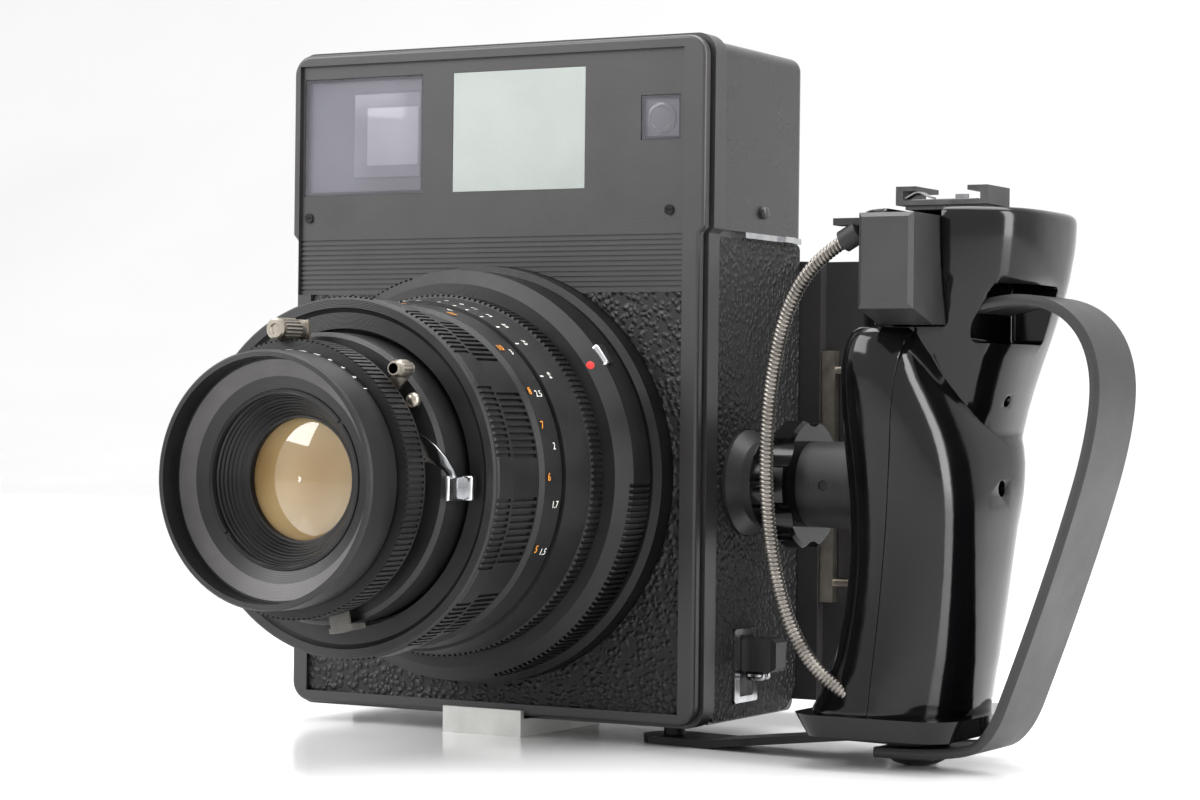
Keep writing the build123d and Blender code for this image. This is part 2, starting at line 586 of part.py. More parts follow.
with BuildPart() as sync_lever:
    lever(lever_at[2], LEVER_BORE, 27.0, -76.0, 35.0, 5.2)
    with BuildSketch(ahead(lever_at[2] - 4.5)):
        with PolarLocations(34.6, 1, -76.0):
            Rectangle(1.2, 6.4)
    extrude(amount=4.5 + LEVER_T)
save(sync_lever.part, "sync_lever")

with BuildPart() as cocking_lever:
    lever(lever_at[3], LEVER_BORE, 27.0, 95.0, 36.0, 5.0)
    lens_pin(lever_at[3], 9.4, 33.9, 95.0, 2.3)
save(cocking_lever.part, "cocking_lever")

with BuildPart() as speed_ring:
    speed_start = lever_at[3] + LEVER_T + GAP
    speed_end = RIM_AHEAD[0] - 0.3
    lens_turn([(speed_start, LEVER_BORE), (speed_start, SPEED_R), (speed_end, SPEED_R),
               (speed_end, LEVER_BORE)])
    lens_teeth(SPEED_R, speed_start + 0.6, speed_end + 1, 140, 0.4, 0.6)
save(speed_ring.part, "speed_ring")

with BuildPart() as front_rim:
    filter_floor = RIM_AHEAD[1] - FILTER_DEPTH
    lens_turn([(RIM_AHEAD[0], NAME_R[0]), (RIM_AHEAD[0], RIM_R - 0.5), (RIM_AHEAD[0] + 0.5, RIM_R),
               (RIM_AHEAD[1] - 0.5, RIM_R), (RIM_AHEAD[1], RIM_R - 0.5), (RIM_AHEAD[1], FILTER_R),
               (filter_floor, FILTER_R), (filter_floor, NAME_R[1] + RUN),
               (RIM_AHEAD[0] + 1.5, NAME_R[1] + RUN), (RIM_AHEAD[0] + 1.5, NAME_R[0])])
save(front_rim.part, "front_rim")

with BuildPart() as name_ring:
    lens_turn([(RIM_AHEAD[0] + 1.5, NAME_R[0]), (88.5, NAME_R[0]), (filter_floor, NAME_R[1]),
               (RIM_AHEAD[0] + 1.5, NAME_R[1])])
save(name_ring.part, "name_ring")

# ================================================================ grip arm
SPIGOT_END = SIDE_X + 3.5
with BuildPart() as arm_socket:
    arm_turn([(SIDE_X, HUB_BORE_R + RUN), (SIDE_X, DISH_R), (SIDE_X + 1.6, DISH_R), (SIDE_X + 4.4, 10.2),
              (KNOB_X[0] - 0.6, 10.2), (KNOB_X[0] - 0.6, HUB_BORE_R + RUN)])
save(arm_socket.part, "arm_socket")

with BuildPart() as star_knob:
    arm_turn([(KNOB_X[0], ARM_R + RUN), (KNOB_X[0], 11.8), (KNOB_X[0] + 0.8, 12.5),
              (KNOB_X[1] - 6, 12.5), (KNOB_X[1] - 6, KNOB_R - 0.8), (KNOB_X[1] - 5.2, KNOB_R),
              (KNOB_X[1] - 0.8, KNOB_R), (KNOB_X[1], KNOB_R - 0.8), (KNOB_X[1], ARM_R + RUN)])
    with BuildSketch(across(KNOB_X[1] - 6.2, ARM_Y, ARM_Z)):
        with PolarLocations(KNOB_R + 4.4, 6, 30):
            Circle(6.4)
    extrude(amount=8, mode=Mode.SUBTRACT)
    with BuildSketch(across(KNOB_X[0] - 1, ARM_Y, ARM_Z)):
        with PolarLocations(13.0, 12):
            Circle(1.5)
    extrude(amount=5.6, mode=Mode.SUBTRACT)
save(star_knob.part, "star_knob")

with BuildPart() as grip_arm:
    arm_turn([(SPIGOT_END, 0), (SPIGOT_END, HUB_BORE_R), (KNOB_X[0] - 0.2, HUB_BORE_R),
              (KNOB_X[0] - 0.2, ARM_R), (ARM_END_X, ARM_R), (ARM_END_X, 0)])
    rod(Plane(origin=(KNOB_X[1] + 7.4, ARM_Y - ARM_R - 1, ARM_Z), x_dir=(1, 0, 0), z_dir=(0, 1, 0)), 1.25, 5,
        Mode.SUBTRACT)
save(grip_arm.part, "grip_arm")

# ================================================================ grip
def grip_solid(inset, sections):
    """Loft the grip through its oval sections, moved inwards by an inset."""
    outlines = []
    for height, mid_x, half_x, mid_y, half_y in sections:
        with BuildSketch(Plane.XY.offset(height)) as oval:
            with Locations((GRIP_X + mid_x, mid_y)):
                Ellipse(half_x - inset, half_y - inset)
        outlines.append(oval.sketch.face())
    return loft(outlines)


STRAP_SLOT_Z = (95.0, 112.0)
# the cable leaves its ferrule, bows out towards the body and comes back into the grip's base
CABLE_ROUTE = [(105.6, -38.0, 119.6), (98.5, -37.6, 115.6), (91.4, -36.6, 106.0),
               (87.2, -35.6, 92.0), (85.0, -34.6, 76.0), (84.8, -33.6, 59.0), (86.8, -32.6, 43.0),
               (91.2, -31.4, 29.4), (99.0, -29.8, 19.0), (108.4, -28.8, 14.4)]
CABLE_TOP = Vector(*CABLE_ROUTE[0])
CABLE_FOOT = Vector(*CABLE_ROUTE[-1])
SPRING_R = 4.0
SPRING_X = GRIP_X - 2.5
pocket_back = TRIGGER_Y + 21.0
SPRING_END = pocket_back + TRIGGER_TRAVEL + 10
grip_outer = grip_solid(0, GRIP_SECTIONS)
inner_rows = [(GRIP_SECTIONS[0][0] + SHELL_WALL, *GRIP_SECTIONS[0][1:]), *GRIP_SECTIONS[2:-1],
              (GRIP_SECTIONS[-1][0] - SHELL_WALL, *GRIP_SECTIONS[-1][1:])]
grip_inner = grip_solid(SHELL_WALL, inner_rows)


def grip_shell(name, side):
    """One moulded half of the grip; side is -1 towards the body and +1 away from it."""
    with BuildPart() as shell:
        add(grip_outer)
        add(grip_inner, mode=Mode.SUBTRACT)
        block((TRIGGER_X[0] - GAP, TRIGGER_X[1] + GAP), (-60, pocket_back + TRIGGER_TRAVEL + GAP),
              (TRIGGER_Z[0] - GAP, TRIGGER_Z[1] + GAP + 4), Mode.SUBTRACT)
        if side < 0:
            rod(across(KNOB_X[1], ARM_Y, ARM_Z), ARM_R, ARM_END_X - KNOB_X[1], Mode.SUBTRACT)
            cable_in = CABLE_FOOT - Vector(*CABLE_ROUTE[-2])
            rod(Plane(origin=CABLE_FOOT, z_dir=cable_in).offset(-14), CABLE_D / 2 + SEAT, 16, Mode.SUBTRACT)
            block((GRIP_X - 16.5, GRIP_X - 0.2), (SPRING_END, SPRING_END + 2), (104, 122))
        else:
            block((GRIP_X + 12.5, GRIP_X + 42.5), (STRAP_Y - STRAP_W / 2 - 1, STRAP_Y + STRAP_W / 2 + 1), STRAP_SLOT_Z,
                  Mode.SUBTRACT)
        split(bisect_by=Plane.YZ.offset(GRIP_X), keep=Keep.TOP if side > 0 else Keep.BOTTOM)
    save(shell.part, name)


grip_shell("grip_shell_inner", -1)
grip_shell("grip_shell_outer", 1)

with BuildPart() as grip_plinth:
    low_z, high_z = PLINTH_Z
    plinth_x = (GRIP_X - 26.1, GRIP_X + 14.9)
    plinth_y = (-38.0, 14.0)
    for z, shrink in ((low_z, 3.0), (high_z, 0.0)):
        with BuildSketch(Plane.XY.offset(z)):
            with Locations(((plinth_x[0] + plinth_x[1]) / 2, (plinth_y[0] + plinth_y[1]) / 2)):
                RectangleRounded(plinth_x[1] - plinth_x[0] - 2 * shrink,
                                 plinth_y[1] - plinth_y[0] - 2 * shrink, 9 - shrink)
    loft()
    rod(Plane(origin=(*FOOT, low_z - 1)), SHANK_R + RUN, high_z, Mode.SUBTRACT)
save(grip_plinth.part, "grip_plinth")

with BuildPart() as trigger:
    front_y = TRIGGER_Y
    with BuildSketch(across(TRIGGER_X[0])):
        with BuildLine():
            Polyline((front_y, TRIGGER_Z[1]), (front_y, TRIGGER_Z[0] + 3.4), (front_y + 12, TRIGGER_Z[0]),
                     (pocket_back, TRIGGER_Z[0]), (pocket_back, TRIGGER_Z[1]), close=True)
        make_face()
    extrude(amount=TRIGGER_X[1] - TRIGGER_X[0])
    chamfer(trigger.faces().sort_by(Axis.Y)[0].edges(), 1.0)
save(trigger.part, "trigger")

with BuildPart() as trigger_spring:
    spring_plane = Plane(origin=(SPRING_X, pocket_back, sum(TRIGGER_Z) / 2), x_dir=(1, 0, 0),
                         z_dir=(0, 1, 0))
    rod(spring_plane, SPRING_R, SPRING_END - pocket_back)
    rod(spring_plane, SPRING_R - 1, SPRING_END - pocket_back, Mode.SUBTRACT)
save(trigger_spring.part, "trigger_spring")

# the cable release hangs from a ferrule on a small bracket beside the trigger
FERRULE_R = 2.6
with BuildPart() as cable_ferrule:
    bracket_z = CABLE_TOP.Z + 3.6
    block((CABLE_TOP.X - 2.0, TRIGGER_X[0] - GAP), (CABLE_TOP.Y - 1.6, CABLE_TOP.Y + 3.0),
          (bracket_z, bracket_z + 1.6))
    block((TRIGGER_X[0] - 2.6, TRIGGER_X[0] - GAP), (CABLE_TOP.Y - 1.6, TRIGGER_Y + 19.5),
          (CABLE_TOP.Z - 2, bracket_z + 1.6))
    rod(Plane(origin=CABLE_TOP, z_dir=CABLE_TOP - Vector(*CABLE_ROUTE[1])), FERRULE_R, 4.6)
    rod(Plane(origin=CABLE_TOP + Vector(2.6, 0, 0)), 1.6, 4.4)
save(cable_ferrule.part, "cable_ferrule")

with BuildPart() as accessory_shoe:
    floor_z = SHOE_Z + SHOE_BASE_T + SHOE_T
    slot_top = floor_z + SHOE_SLOT[1]
    block((SHOE_X[0] + 2, SHOE_X[1] - 1), (SHOE_Y[0] + 1, SHOE_Y[1] - 1), (SHOE_Z, SHOE_Z + SHOE_BASE_T))
    block(SHOE_X, SHOE_Y, (SHOE_Z + SHOE_BASE_T, floor_z))
    mid_shoe = sum(SHOE_X) / 2
    for side in (-1, 1):
        outer_wall = mid_shoe + side * (SHOE_X[1] - SHOE_X[0]) / 2
        wall = sorted((mid_shoe + side * (SHOE_SLOT[0] / 2 + 0.1), outer_wall))
        lip = sorted((mid_shoe + side * 6.3, outer_wall))
        block(wall, SHOE_Y, (floor_z - SHOE_T, slot_top))
        block(lip, SHOE_Y, (slot_top, slot_top + SHOE_T))
save(accessory_shoe.part, "accessory_shoe")

with BuildPart() as shoe_spring:
    block((mid_shoe - 8, mid_shoe + 8), (SHOE_Y[0] + 1.5, SHOE_Y[1] - 0.6), (floor_z, floor_z + 0.3))
    block((mid_shoe - 1.5, mid_shoe + 1.5), (SHOE_Y[1] - 1.6, SHOE_Y[1] - 0.6), (floor_z, slot_top))
save(shoe_spring.part, "shoe_spring")

STRAP_LOW = FOOT_T + STRAP_T / 2
# the strap's middle line as (out from the seam plane, height)
STRAP_LINE = [(13.3, 104.8), (22.1, 107.0), (30.9, 106.4), (37.5, 103.0), (42.1, 96.6), (43.9, 87.0),
              (41.9, 73.0), (36.9, 56.0), (30.5, 37.0), (24.5, 20.6), (20.1, 9.2), (13.1, STRAP_LOW),
              (FOOT[0] - GRIP_X - 6.0, STRAP_LOW)]
STRAP_ROUTE = [(GRIP_X + out, z) for out, z in STRAP_LINE]


def route_radii(points, share=0.45):
    """The largest arcs that the runs on both sides of each corner allow."""
    radii = []
    for before, here, after in zip(points, points[1:], points[2:]):
        run_in = Vector(*here) - Vector(*before)
        run_out = Vector(*after) - Vector(*here)
        turn = run_in.get_angle(run_out)
        radii.append(share * min(run_in.length, run_out.length) / tan(radians(turn / 2)))
    return radii


with BuildPart() as hand_strap:
    with BuildSketch(Plane.XZ.offset(-STRAP_Y - STRAP_W / 2)) as strap_side:
        with BuildLine() as strap_line:
            FilletPolyline(*STRAP_ROUTE, radius=route_radii([(x, 0, z) for x, z in STRAP_ROUTE]))
        trace(line_width=STRAP_T)
    extrude(amount=STRAP_W)
    rod(Plane(origin=(*FOOT, 0)), SHANK_R + SEAT, STRAP_LOW * 2, Mode.SUBTRACT)
save(hand_strap.part, "hand_strap")

with BuildPart() as foot_screw:
    foot_plane = Plane(origin=(*FOOT, 0))
    rod(foot_plane.offset(FOOT_T), SHANK_R, PLINTH_Z[1] - FOOT_T - 1)
    with BuildSketch(Plane.XZ.offset(-FOOT[1])) as dome:
        with BuildLine():
            Polyline((FOOT[0], FOOT_T), (FOOT[0] + FOOT_R, FOOT_T), (FOOT[0] + FOOT_R, 1.8))
            ThreePointArc((FOOT[0] + FOOT_R, 1.8), (FOOT[0] + FOOT_R * 0.62, 0.5), (FOOT[0], 0))
            Line((FOOT[0], 0), (FOOT[0], FOOT_T))
        make_face()
    revolve(axis=Axis((*FOOT, 0), (0, 0, 1)))
    block((FOOT[0] - 0.8, FOOT[0] + 0.8), (FOOT[1] - FOOT_R - 1, FOOT[1] + FOOT_R + 1), (-1, 0.9),
          Mode.SUBTRACT)
save(foot_screw.part, "foot_screw")

# a flat brace runs from the foot screw to the underside of the body, with a stud at its far end
with BuildPart() as grip_brace:
    along = Vector(FOOT[0] - BRACE_END[0], FOOT[1] - BRACE_END[1], 0)
    brace_side = Plane(origin=(*FOOT, 0), x_dir=along, z_dir=along.cross(Vector(0, 0, 1)))
    brace_plan = Plane(origin=(*FOOT, 0), x_dir=along, z_dir=(0, 0, 1))
    brace_high = FOOT_T + STRAP_T + 0.3
    far = -along.length
    with BuildSketch(brace_side):
        with BuildLine():
            Polyline((BRACE_W / 2, brace_high), (-14, brace_high), (far + 14, BRACE_LOW),
                     (far - BRACE_W / 2, BRACE_LOW), (far - BRACE_W / 2, BRACE_LOW + BRACE_T),
                     (far + 14, BRACE_LOW + BRACE_T), (-14, brace_high + BRACE_T),
                     (BRACE_W / 2, brace_high + BRACE_T), close=True)
        make_face()
    extrude(amount=BRACE_W / 2, both=True)
    with BuildSketch(brace_plan):
        with Locations((far / 2, 0)):
            SlotCenterToCenter(along.length, BRACE_W)
        Circle(SHANK_R + RUN, mode=Mode.SUBTRACT)
    extrude(amount=20, mode=Mode.INTERSECT)
    rod(Plane(origin=(*BRACE_END, BRACE_LOW + BRACE_T / 2)), 2.6, BEZEL_BASE - GAP - BRACE_LOW - BRACE_T / 2)
save(grip_brace.part, "grip_brace")

with BuildPart() as cable_release:
    cable_radii = route_radii(CABLE_ROUTE)
    with BuildLine():
        cable_path = FilletPolyline(*CABLE_ROUTE, radius=cable_radii)
    with BuildSketch(Plane(origin=cable_path @ 0, z_dir=cable_path % 0)) as cable_section:
        Circle(CABLE_D / 2)
    sweep(path=cable_path)
save(cable_release.part, "cable_release")
cable_ratio = cable_release.part.volume / (cable_section.sketch.area * cable_path.length)
print("cable radii", [round(r, 1) for r in cable_radii])
print("cable length", round(cable_path.length, 1), "volume over section x length", round(cable_ratio, 4))

# ================================================================ film back
BACK_X = BACK_W / 2
GATE_Z = (AXIS_Z - GATE_H / 2, AXIS_Z + GATE_H / 2)
CASE_WALL_T = 2.0
SLIDE_Y = ADAPTER_Y + ADAPTER_T / 2
SLIDE_Z = (GATE_Z[0] - 4.0, GATE_Z[1] + 4.0)
SPOOL_Y = CASE_Y + CHAMBER_D / 2 + 1.0
CHAMBER_Z = (BACK_Z[0] + CASE_WALL_T, BACK_Z[1] - CASE_WALL_T)
SPOOL_LEN = 63.0     # between the flanges of a 120 spool
SPOOL_Z = (AXIS_Z - SPOOL_LEN / 2, AXIS_Z + SPOOL_LEN / 2)
with BuildPart() as film_back_case:
    block((-ADAPTER_W / 2, ADAPTER_W / 2), (ADAPTER_Y, CASE_Y), BACK_Z)
    block((-BACK_X, BACK_X), (CASE_Y, CASE_Y + CHAMBER_D), BACK_Z)
    fillet(film_back_case.edges().filter_by(Axis.Z).group_by(Axis.X)[0].sort_by(Axis.Y)[:1], 6)
    fillet(film_back_case.edges().filter_by(Axis.Z).group_by(Axis.X)[-1].sort_by(Axis.Y)[:1], 6)
    for side in (-1, 1):
        chamber_x = sorted((side * (GATE_W / 2 + 3.0), side * (BACK_X - CASE_WALL_T)))
        block(chamber_x, (CASE_Y + CASE_WALL_T, CASE_Y + CHAMBER_D + 1), CHAMBER_Z, Mode.SUBTRACT)
    block((-GATE_W / 2 - 3, GATE_W / 2 + 3), (CASE_Y + CHAMBER_D - 4, CASE_Y + CHAMBER_D + 1), CHAMBER_Z,
          Mode.SUBTRACT)
    block((-GATE_W / 2, GATE_W / 2), (ADAPTER_Y - 1, CASE_Y + CHAMBER_D + 1), GATE_Z, Mode.SUBTRACT)
    block((-GATE_W / 2 - 6, BACK_X + 1), (SLIDE_Y - SLIDE_T / 2 - SEAT, SLIDE_Y + SLIDE_T / 2 + SEAT),
          (SLIDE_Z[0] - SEAT, SLIDE_Z[1] + SEAT), Mode.SUBTRACT)
    rod(Plane(origin=(-SPOOL_X, SPOOL_Y, CHAMBER_Z[1] - 1)), 3.0 + RUN, 10, Mode.SUBTRACT)
save(film_back_case.part, "film_back_case")

with BuildPart() as dark_slide:
    block((-GATE_W / 2 - 5, ADAPTER_W / 2 + 4), (SLIDE_Y - SLIDE_T / 2, SLIDE_Y + SLIDE_T / 2), SLIDE_Z)
    block((ADAPTER_W / 2 + 1, ADAPTER_W / 2 + 4), (SLIDE_Y - 1.4, SLIDE_Y + 1.4), SLIDE_Z)
    for bail_z in (SLIDE_Z[0] + 5, SLIDE_Z[1] - 5):
        rod(across(ADAPTER_W / 2 + 4, SLIDE_Y, bail_z), 1.0, 10)
    bail_plane = Plane(origin=(ADAPTER_W / 2 + 13, SLIDE_Y, SLIDE_Z[0] + 4))
    rod(bail_plane, 1.0, SLIDE_Z[1] - SLIDE_Z[0] - 8)
save(dark_slide.part, "dark_slide")


def spool(name, x, key_top):
    """A film spool on a vertical axis, with a slotted core and a drive key above it."""
    with BuildPart() as reel:
        foot = Plane(origin=(x, SPOOL_Y, SPOOL_Z[0]))
        rod(foot.offset(-SPOOL_FLANGE_T), SPOOL_R, SPOOL_FLANGE_T)
        rod(foot, 5.6, SPOOL_LEN)
        rod(foot.offset(SPOOL_LEN), SPOOL_R, SPOOL_FLANGE_T)
        rod(foot.offset(SPOOL_LEN + SPOOL_FLANGE_T), 3.0, key_top - SPOOL_Z[1] - SPOOL_FLANGE_T)
        block((x - 7, x + 7), (SPOOL_Y - 0.6, SPOOL_Y + 0.6), (SPOOL_Z[0] + 10, SPOOL_Z[1] - 10), Mode.SUBTRACT)
    save(reel.part, name)


spool("take_up_spool", -SPOOL_X, BACK_Z[1] + 1.0)
spool("supply_spool", SPOOL_X, CHAMBER_Z[1] - GAP)

with BuildPart() as advance_lever:
    lever_z = BACK_Z[1] + GAP
    hub = Plane(origin=(-SPOOL_X, SPOOL_Y, lever_z))
    with BuildSketch(hub):
        Circle(8.5)
        with Locations((14, 0)):
            SlotOverall(36, 9)
        Circle(3.0 + RUN, mode=Mode.SUBTRACT)
    extrude(amount=3.0)
    rod(hub.offset(3.0), 7.0, 2.0)
    rod(hub.offset(3.0).move(Location((27, 0, 0))), 3.2, 3.2)
save(advance_lever.part, "advance_lever")

HINGE_R = 2.4
HINGE = (-BACK_X - 1.4, DOOR_Y + HINGE_R + 0.4)
with BuildPart() as rear_door:
    block((-BACK_X, BACK_X), (DOOR_Y, DOOR_Y + DOOR_D), BACK_Z)
    fillet(rear_door.edges().filter_by(Axis.Z).sort_by(Axis.Y)[-2:], 5)
    fillet(rear_door.faces().sort_by(Axis.Y)[-1].edges().filter_by(Axis.X), 2.5)
    block((-BACK_X + DOOR_WALL, BACK_X - DOOR_WALL), (DOOR_Y - 1, DOOR_Y + DOOR_D - DOOR_WALL),
          (BACK_Z[0] + DOOR_WALL, BACK_Z[1] - DOOR_WALL), Mode.SUBTRACT)
    rod(Plane(origin=(*HINGE, BACK_Z[0] + 30)), HINGE_R, BACK_Z[1] - BACK_Z[0] - 60)
save(rear_door.part, "rear_door")

with BuildPart() as pressure_plate:
    plate_y = DOOR_Y + 1.2
    block((-GATE_W / 2 - 2, GATE_W / 2 + 2), (plate_y, plate_y + 1.4), (GATE_Z[0] - 4, GATE_Z[1] + 4))
    for x in (-24, 24):
        block((x - 4, x + 4), (plate_y + 1.4, DOOR_Y + DOOR_D - DOOR_WALL), (AXIS_Z - 6, AXIS_Z + 6))
save(pressure_plate.part, "pressure_plate")

# a sprung wire latch on the case holds the door shut
LATCH_X = BACK_X + 1.8
LATCH_Y = CASE_Y + 8.0
with BuildPart() as door_latch:
    wire_r = 1.0
    rod(Plane(origin=(LATCH_X, LATCH_Y, AXIS_Z - 26)), wire_r, 52)
    for wire_z in (AXIS_Z - 26, AXIS_Z + 26):
        rod(Plane(origin=(LATCH_X, LATCH_Y, wire_z), x_dir=(1, 0, 0), z_dir=(0, 1, 0)), wire_r, 20)
    rod(Plane(origin=(LATCH_X, LATCH_Y + 19.5, AXIS_Z - 27)), wire_r, 54)
save(door_latch.part, "door_latch")
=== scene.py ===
"""Looks of a press camera with a side grip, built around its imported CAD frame."""

from math import atan2, cos, pi, radians, sin, tau

import bpy
from mathutils import Matrix, Vector


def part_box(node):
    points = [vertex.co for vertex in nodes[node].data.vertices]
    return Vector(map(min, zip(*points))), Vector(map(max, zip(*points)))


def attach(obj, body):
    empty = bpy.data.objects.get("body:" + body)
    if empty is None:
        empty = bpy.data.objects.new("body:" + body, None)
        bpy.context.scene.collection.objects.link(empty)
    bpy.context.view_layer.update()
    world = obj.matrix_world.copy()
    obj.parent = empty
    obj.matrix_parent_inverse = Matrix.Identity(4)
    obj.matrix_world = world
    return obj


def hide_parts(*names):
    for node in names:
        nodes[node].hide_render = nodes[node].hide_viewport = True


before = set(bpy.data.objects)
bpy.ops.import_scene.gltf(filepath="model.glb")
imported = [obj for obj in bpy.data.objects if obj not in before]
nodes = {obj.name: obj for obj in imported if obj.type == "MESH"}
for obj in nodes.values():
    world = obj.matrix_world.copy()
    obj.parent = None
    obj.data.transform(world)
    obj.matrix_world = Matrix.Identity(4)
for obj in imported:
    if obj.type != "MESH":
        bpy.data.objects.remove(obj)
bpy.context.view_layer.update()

MM = 0.001
AXIS_MM = 64.6              # lens axis above the table
FRONT_MM = -18.0            # front plane of the bezel
SIDE_MM = 57.5              # side wall of the body on the grip's side
ARM_Y = 9.0                 # axis of the grip's arm, fore and aft
ARM_Z = 63.4                # and above the table
AXIS_Z = AXIS_MM * MM
FRONT = FRONT_MM * MM
FORWARD = (0, -1, 0)


# ---------------------------------------------------------------- small helpers
def linear(code):
    """An sRGB hex value as linear red, green, blue and alpha."""
    parts = [int(code[i:i + 2], 16) / 255 for i in (1, 3, 5)]
    return (*[c / 12.92 if c <= 0.04045 else ((c + 0.055) / 1.055) ** 2.4 for c in parts], 1.0)


def deselect():
    if bpy.context.object and bpy.context.object.mode != "OBJECT":
        bpy.ops.object.mode_set(mode="OBJECT")
    bpy.ops.object.select_all(action="DESELECT")


def settle(piece, name, body, finish, smooth=35):
    """Name a modelled piece, put its place in its mesh, and give it its body, finish and slot."""
    deselect()
    piece.select_set(True)
    bpy.context.view_layer.objects.active = piece
    bpy.ops.object.transform_apply(location=True, rotation=True, scale=True)
    piece.name = name
    piece.data.name = name
    piece.data.materials.clear()
    piece.data.materials.append(finish)
    bpy.ops.object.shade_smooth_by_angle(angle=radians(smooth))
    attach(piece, body)
    deselect()
    return piece


def ahead(distance, radius=0.0, angle=0.0):
    """A point this far ahead of the bezel, at a radius and an angle from +X about the lens axis."""
    a = radians(angle)
    return Vector((radius * MM * cos(a), FRONT - distance * MM, AXIS_Z + radius * MM * sin(a)))


# ---------------------------------------------------------------- materials
def connect(tree, node, links):
    """Link sockets into a node's inputs."""
    for key, source in links.items():
        tree.links.new(source, node.inputs[key])


def add(tree, kind, settings=None, links=None, stops=()):
    """Add a shader node with its settings and links, and with its two stops if it is a colour ramp."""
    made = tree.nodes.new(kind)
    for key, value in (settings or {}).items():
        if isinstance(key, str) and hasattr(made, key):
            setattr(made, key, value)
        else:
            made.inputs[key].default_value = value
    connect(tree, made, links or {})
    if stops:
        for point, (place, colour) in zip(made.color_ramp.elements, stops):
            point.position = place
            point.color = colour
    return made


def grey(value):
    return (value, value, value, 1.0)


def material(name, settings):
    """A material with a Principled shader and its object coordinates."""
    made = bpy.data.materials.new(name)
    made.use_nodes = True
    tree = made.node_tree
    shader = tree.nodes["Principled BSDF"]
    for key, value in settings.items():
        shader.inputs[key].default_value = value
    coords = add(tree, "ShaderNodeTexCoord").outputs["Object"]
    return made, tree, shader, coords


def per_mm(size):
    """Texture scale that repeats every size millimetres."""
    return 1 / (size * MM)


def grainy(name, dark, light, rough, settings, grain_mm, depth_mm, patch_mm=18.0):
    """A finish with a fine grain in its relief and slow changes of colour and gloss."""
    made, tree, shader, coords = material(name, settings)
    grain = add(tree, "ShaderNodeTexNoise", {"Scale": per_mm(grain_mm), "Detail": 3.0}, {"Vector": coords})
    patch = add(tree, "ShaderNodeTexNoise", {"Scale": per_mm(patch_mm), "Detail": 5.0, "Roughness": 0.6},
                {"Vector": coords})
    colour = add(tree, "ShaderNodeValToRGB", links={"Fac": patch.outputs["Fac"]},
                 stops=[(0.3, linear(dark)), (0.72, linear(light))])
    gloss = add(tree, "ShaderNodeValToRGB", links={"Fac": patch.outputs["Fac"]},
                stops=[(0.3, grey(rough[0])), (0.72, grey(rough[1]))])
    relief = add(tree, "ShaderNodeBump", {"Distance": depth_mm * MM}, {"Height": grain.outputs["Fac"]})
    connect(tree, shader, {"Base Color": colour.outputs["Color"], "Roughness": gloss.outputs["Color"],
                           "Normal": relief.outputs["Normal"]})
    return made


def leatherette():
    """Vinyl-coated cloth embossed with round pebbles: matt black, with gloss on the pebble tops."""
    made, tree, shader, coords = material("embossed_leatherette", {"IOR": 1.5, "Specular IOR Level": 0.45})
    bend = add(tree, "ShaderNodeTexNoise", {"Scale": per_mm(2.2), "Detail": 2.0}, {"Vector": coords})
    shifted = add(tree, "ShaderNodeVectorMath", {"operation": "MULTIPLY_ADD", 1: (0.0013,) * 3},
                  {0: bend.outputs["Color"], 2: coords})
    pebble = add(tree, "ShaderNodeTexVoronoi",
                 {"feature": "SMOOTH_F1", "Scale": per_mm(1.5), "Smoothness": 0.35},
                 {"Vector": shifted.outputs["Vector"]})
    height = add(tree, "ShaderNodeValToRGB", links={"Fac": pebble.outputs["Distance"]},
                 stops=[(0.12, grey(1.0)), (0.62, grey(0.0))]).outputs["Color"]
    fine = add(tree, "ShaderNodeTexNoise", {"Scale": per_mm(0.35), "Detail": 2.0}, {"Vector": coords})
    rough = add(tree, "ShaderNodeMath", {"operation": "MULTIPLY_ADD", 1: 0.08, 2: 0.012},
                {0: fine.outputs["Fac"]})
    total = add(tree, "ShaderNodeMath", {"operation": "ADD"}, {0: height, 1: rough.outputs["Value"]})
    relief = add(tree, "ShaderNodeBump", {"Distance": 0.55 * MM}, {"Height": total.outputs["Value"]})
    # painted shade: the colour is darkest in the hollows between the pebbles and lightest on their tops
    colour = add(tree, "ShaderNodeValToRGB", links={"Fac": height},
                 stops=[(0.0, linear("#0a0a0b")), (1.0, linear("#1b1b1c"))])
    gloss = add(tree, "ShaderNodeValToRGB", links={"Fac": height},
                stops=[(0.0, grey(0.62)), (1.0, grey(0.4))])
    connect(tree, shader, {"Base Color": colour.outputs["Color"], "Roughness": gloss.outputs["Color"],
                           "Normal": relief.outputs["Normal"]})
    return made


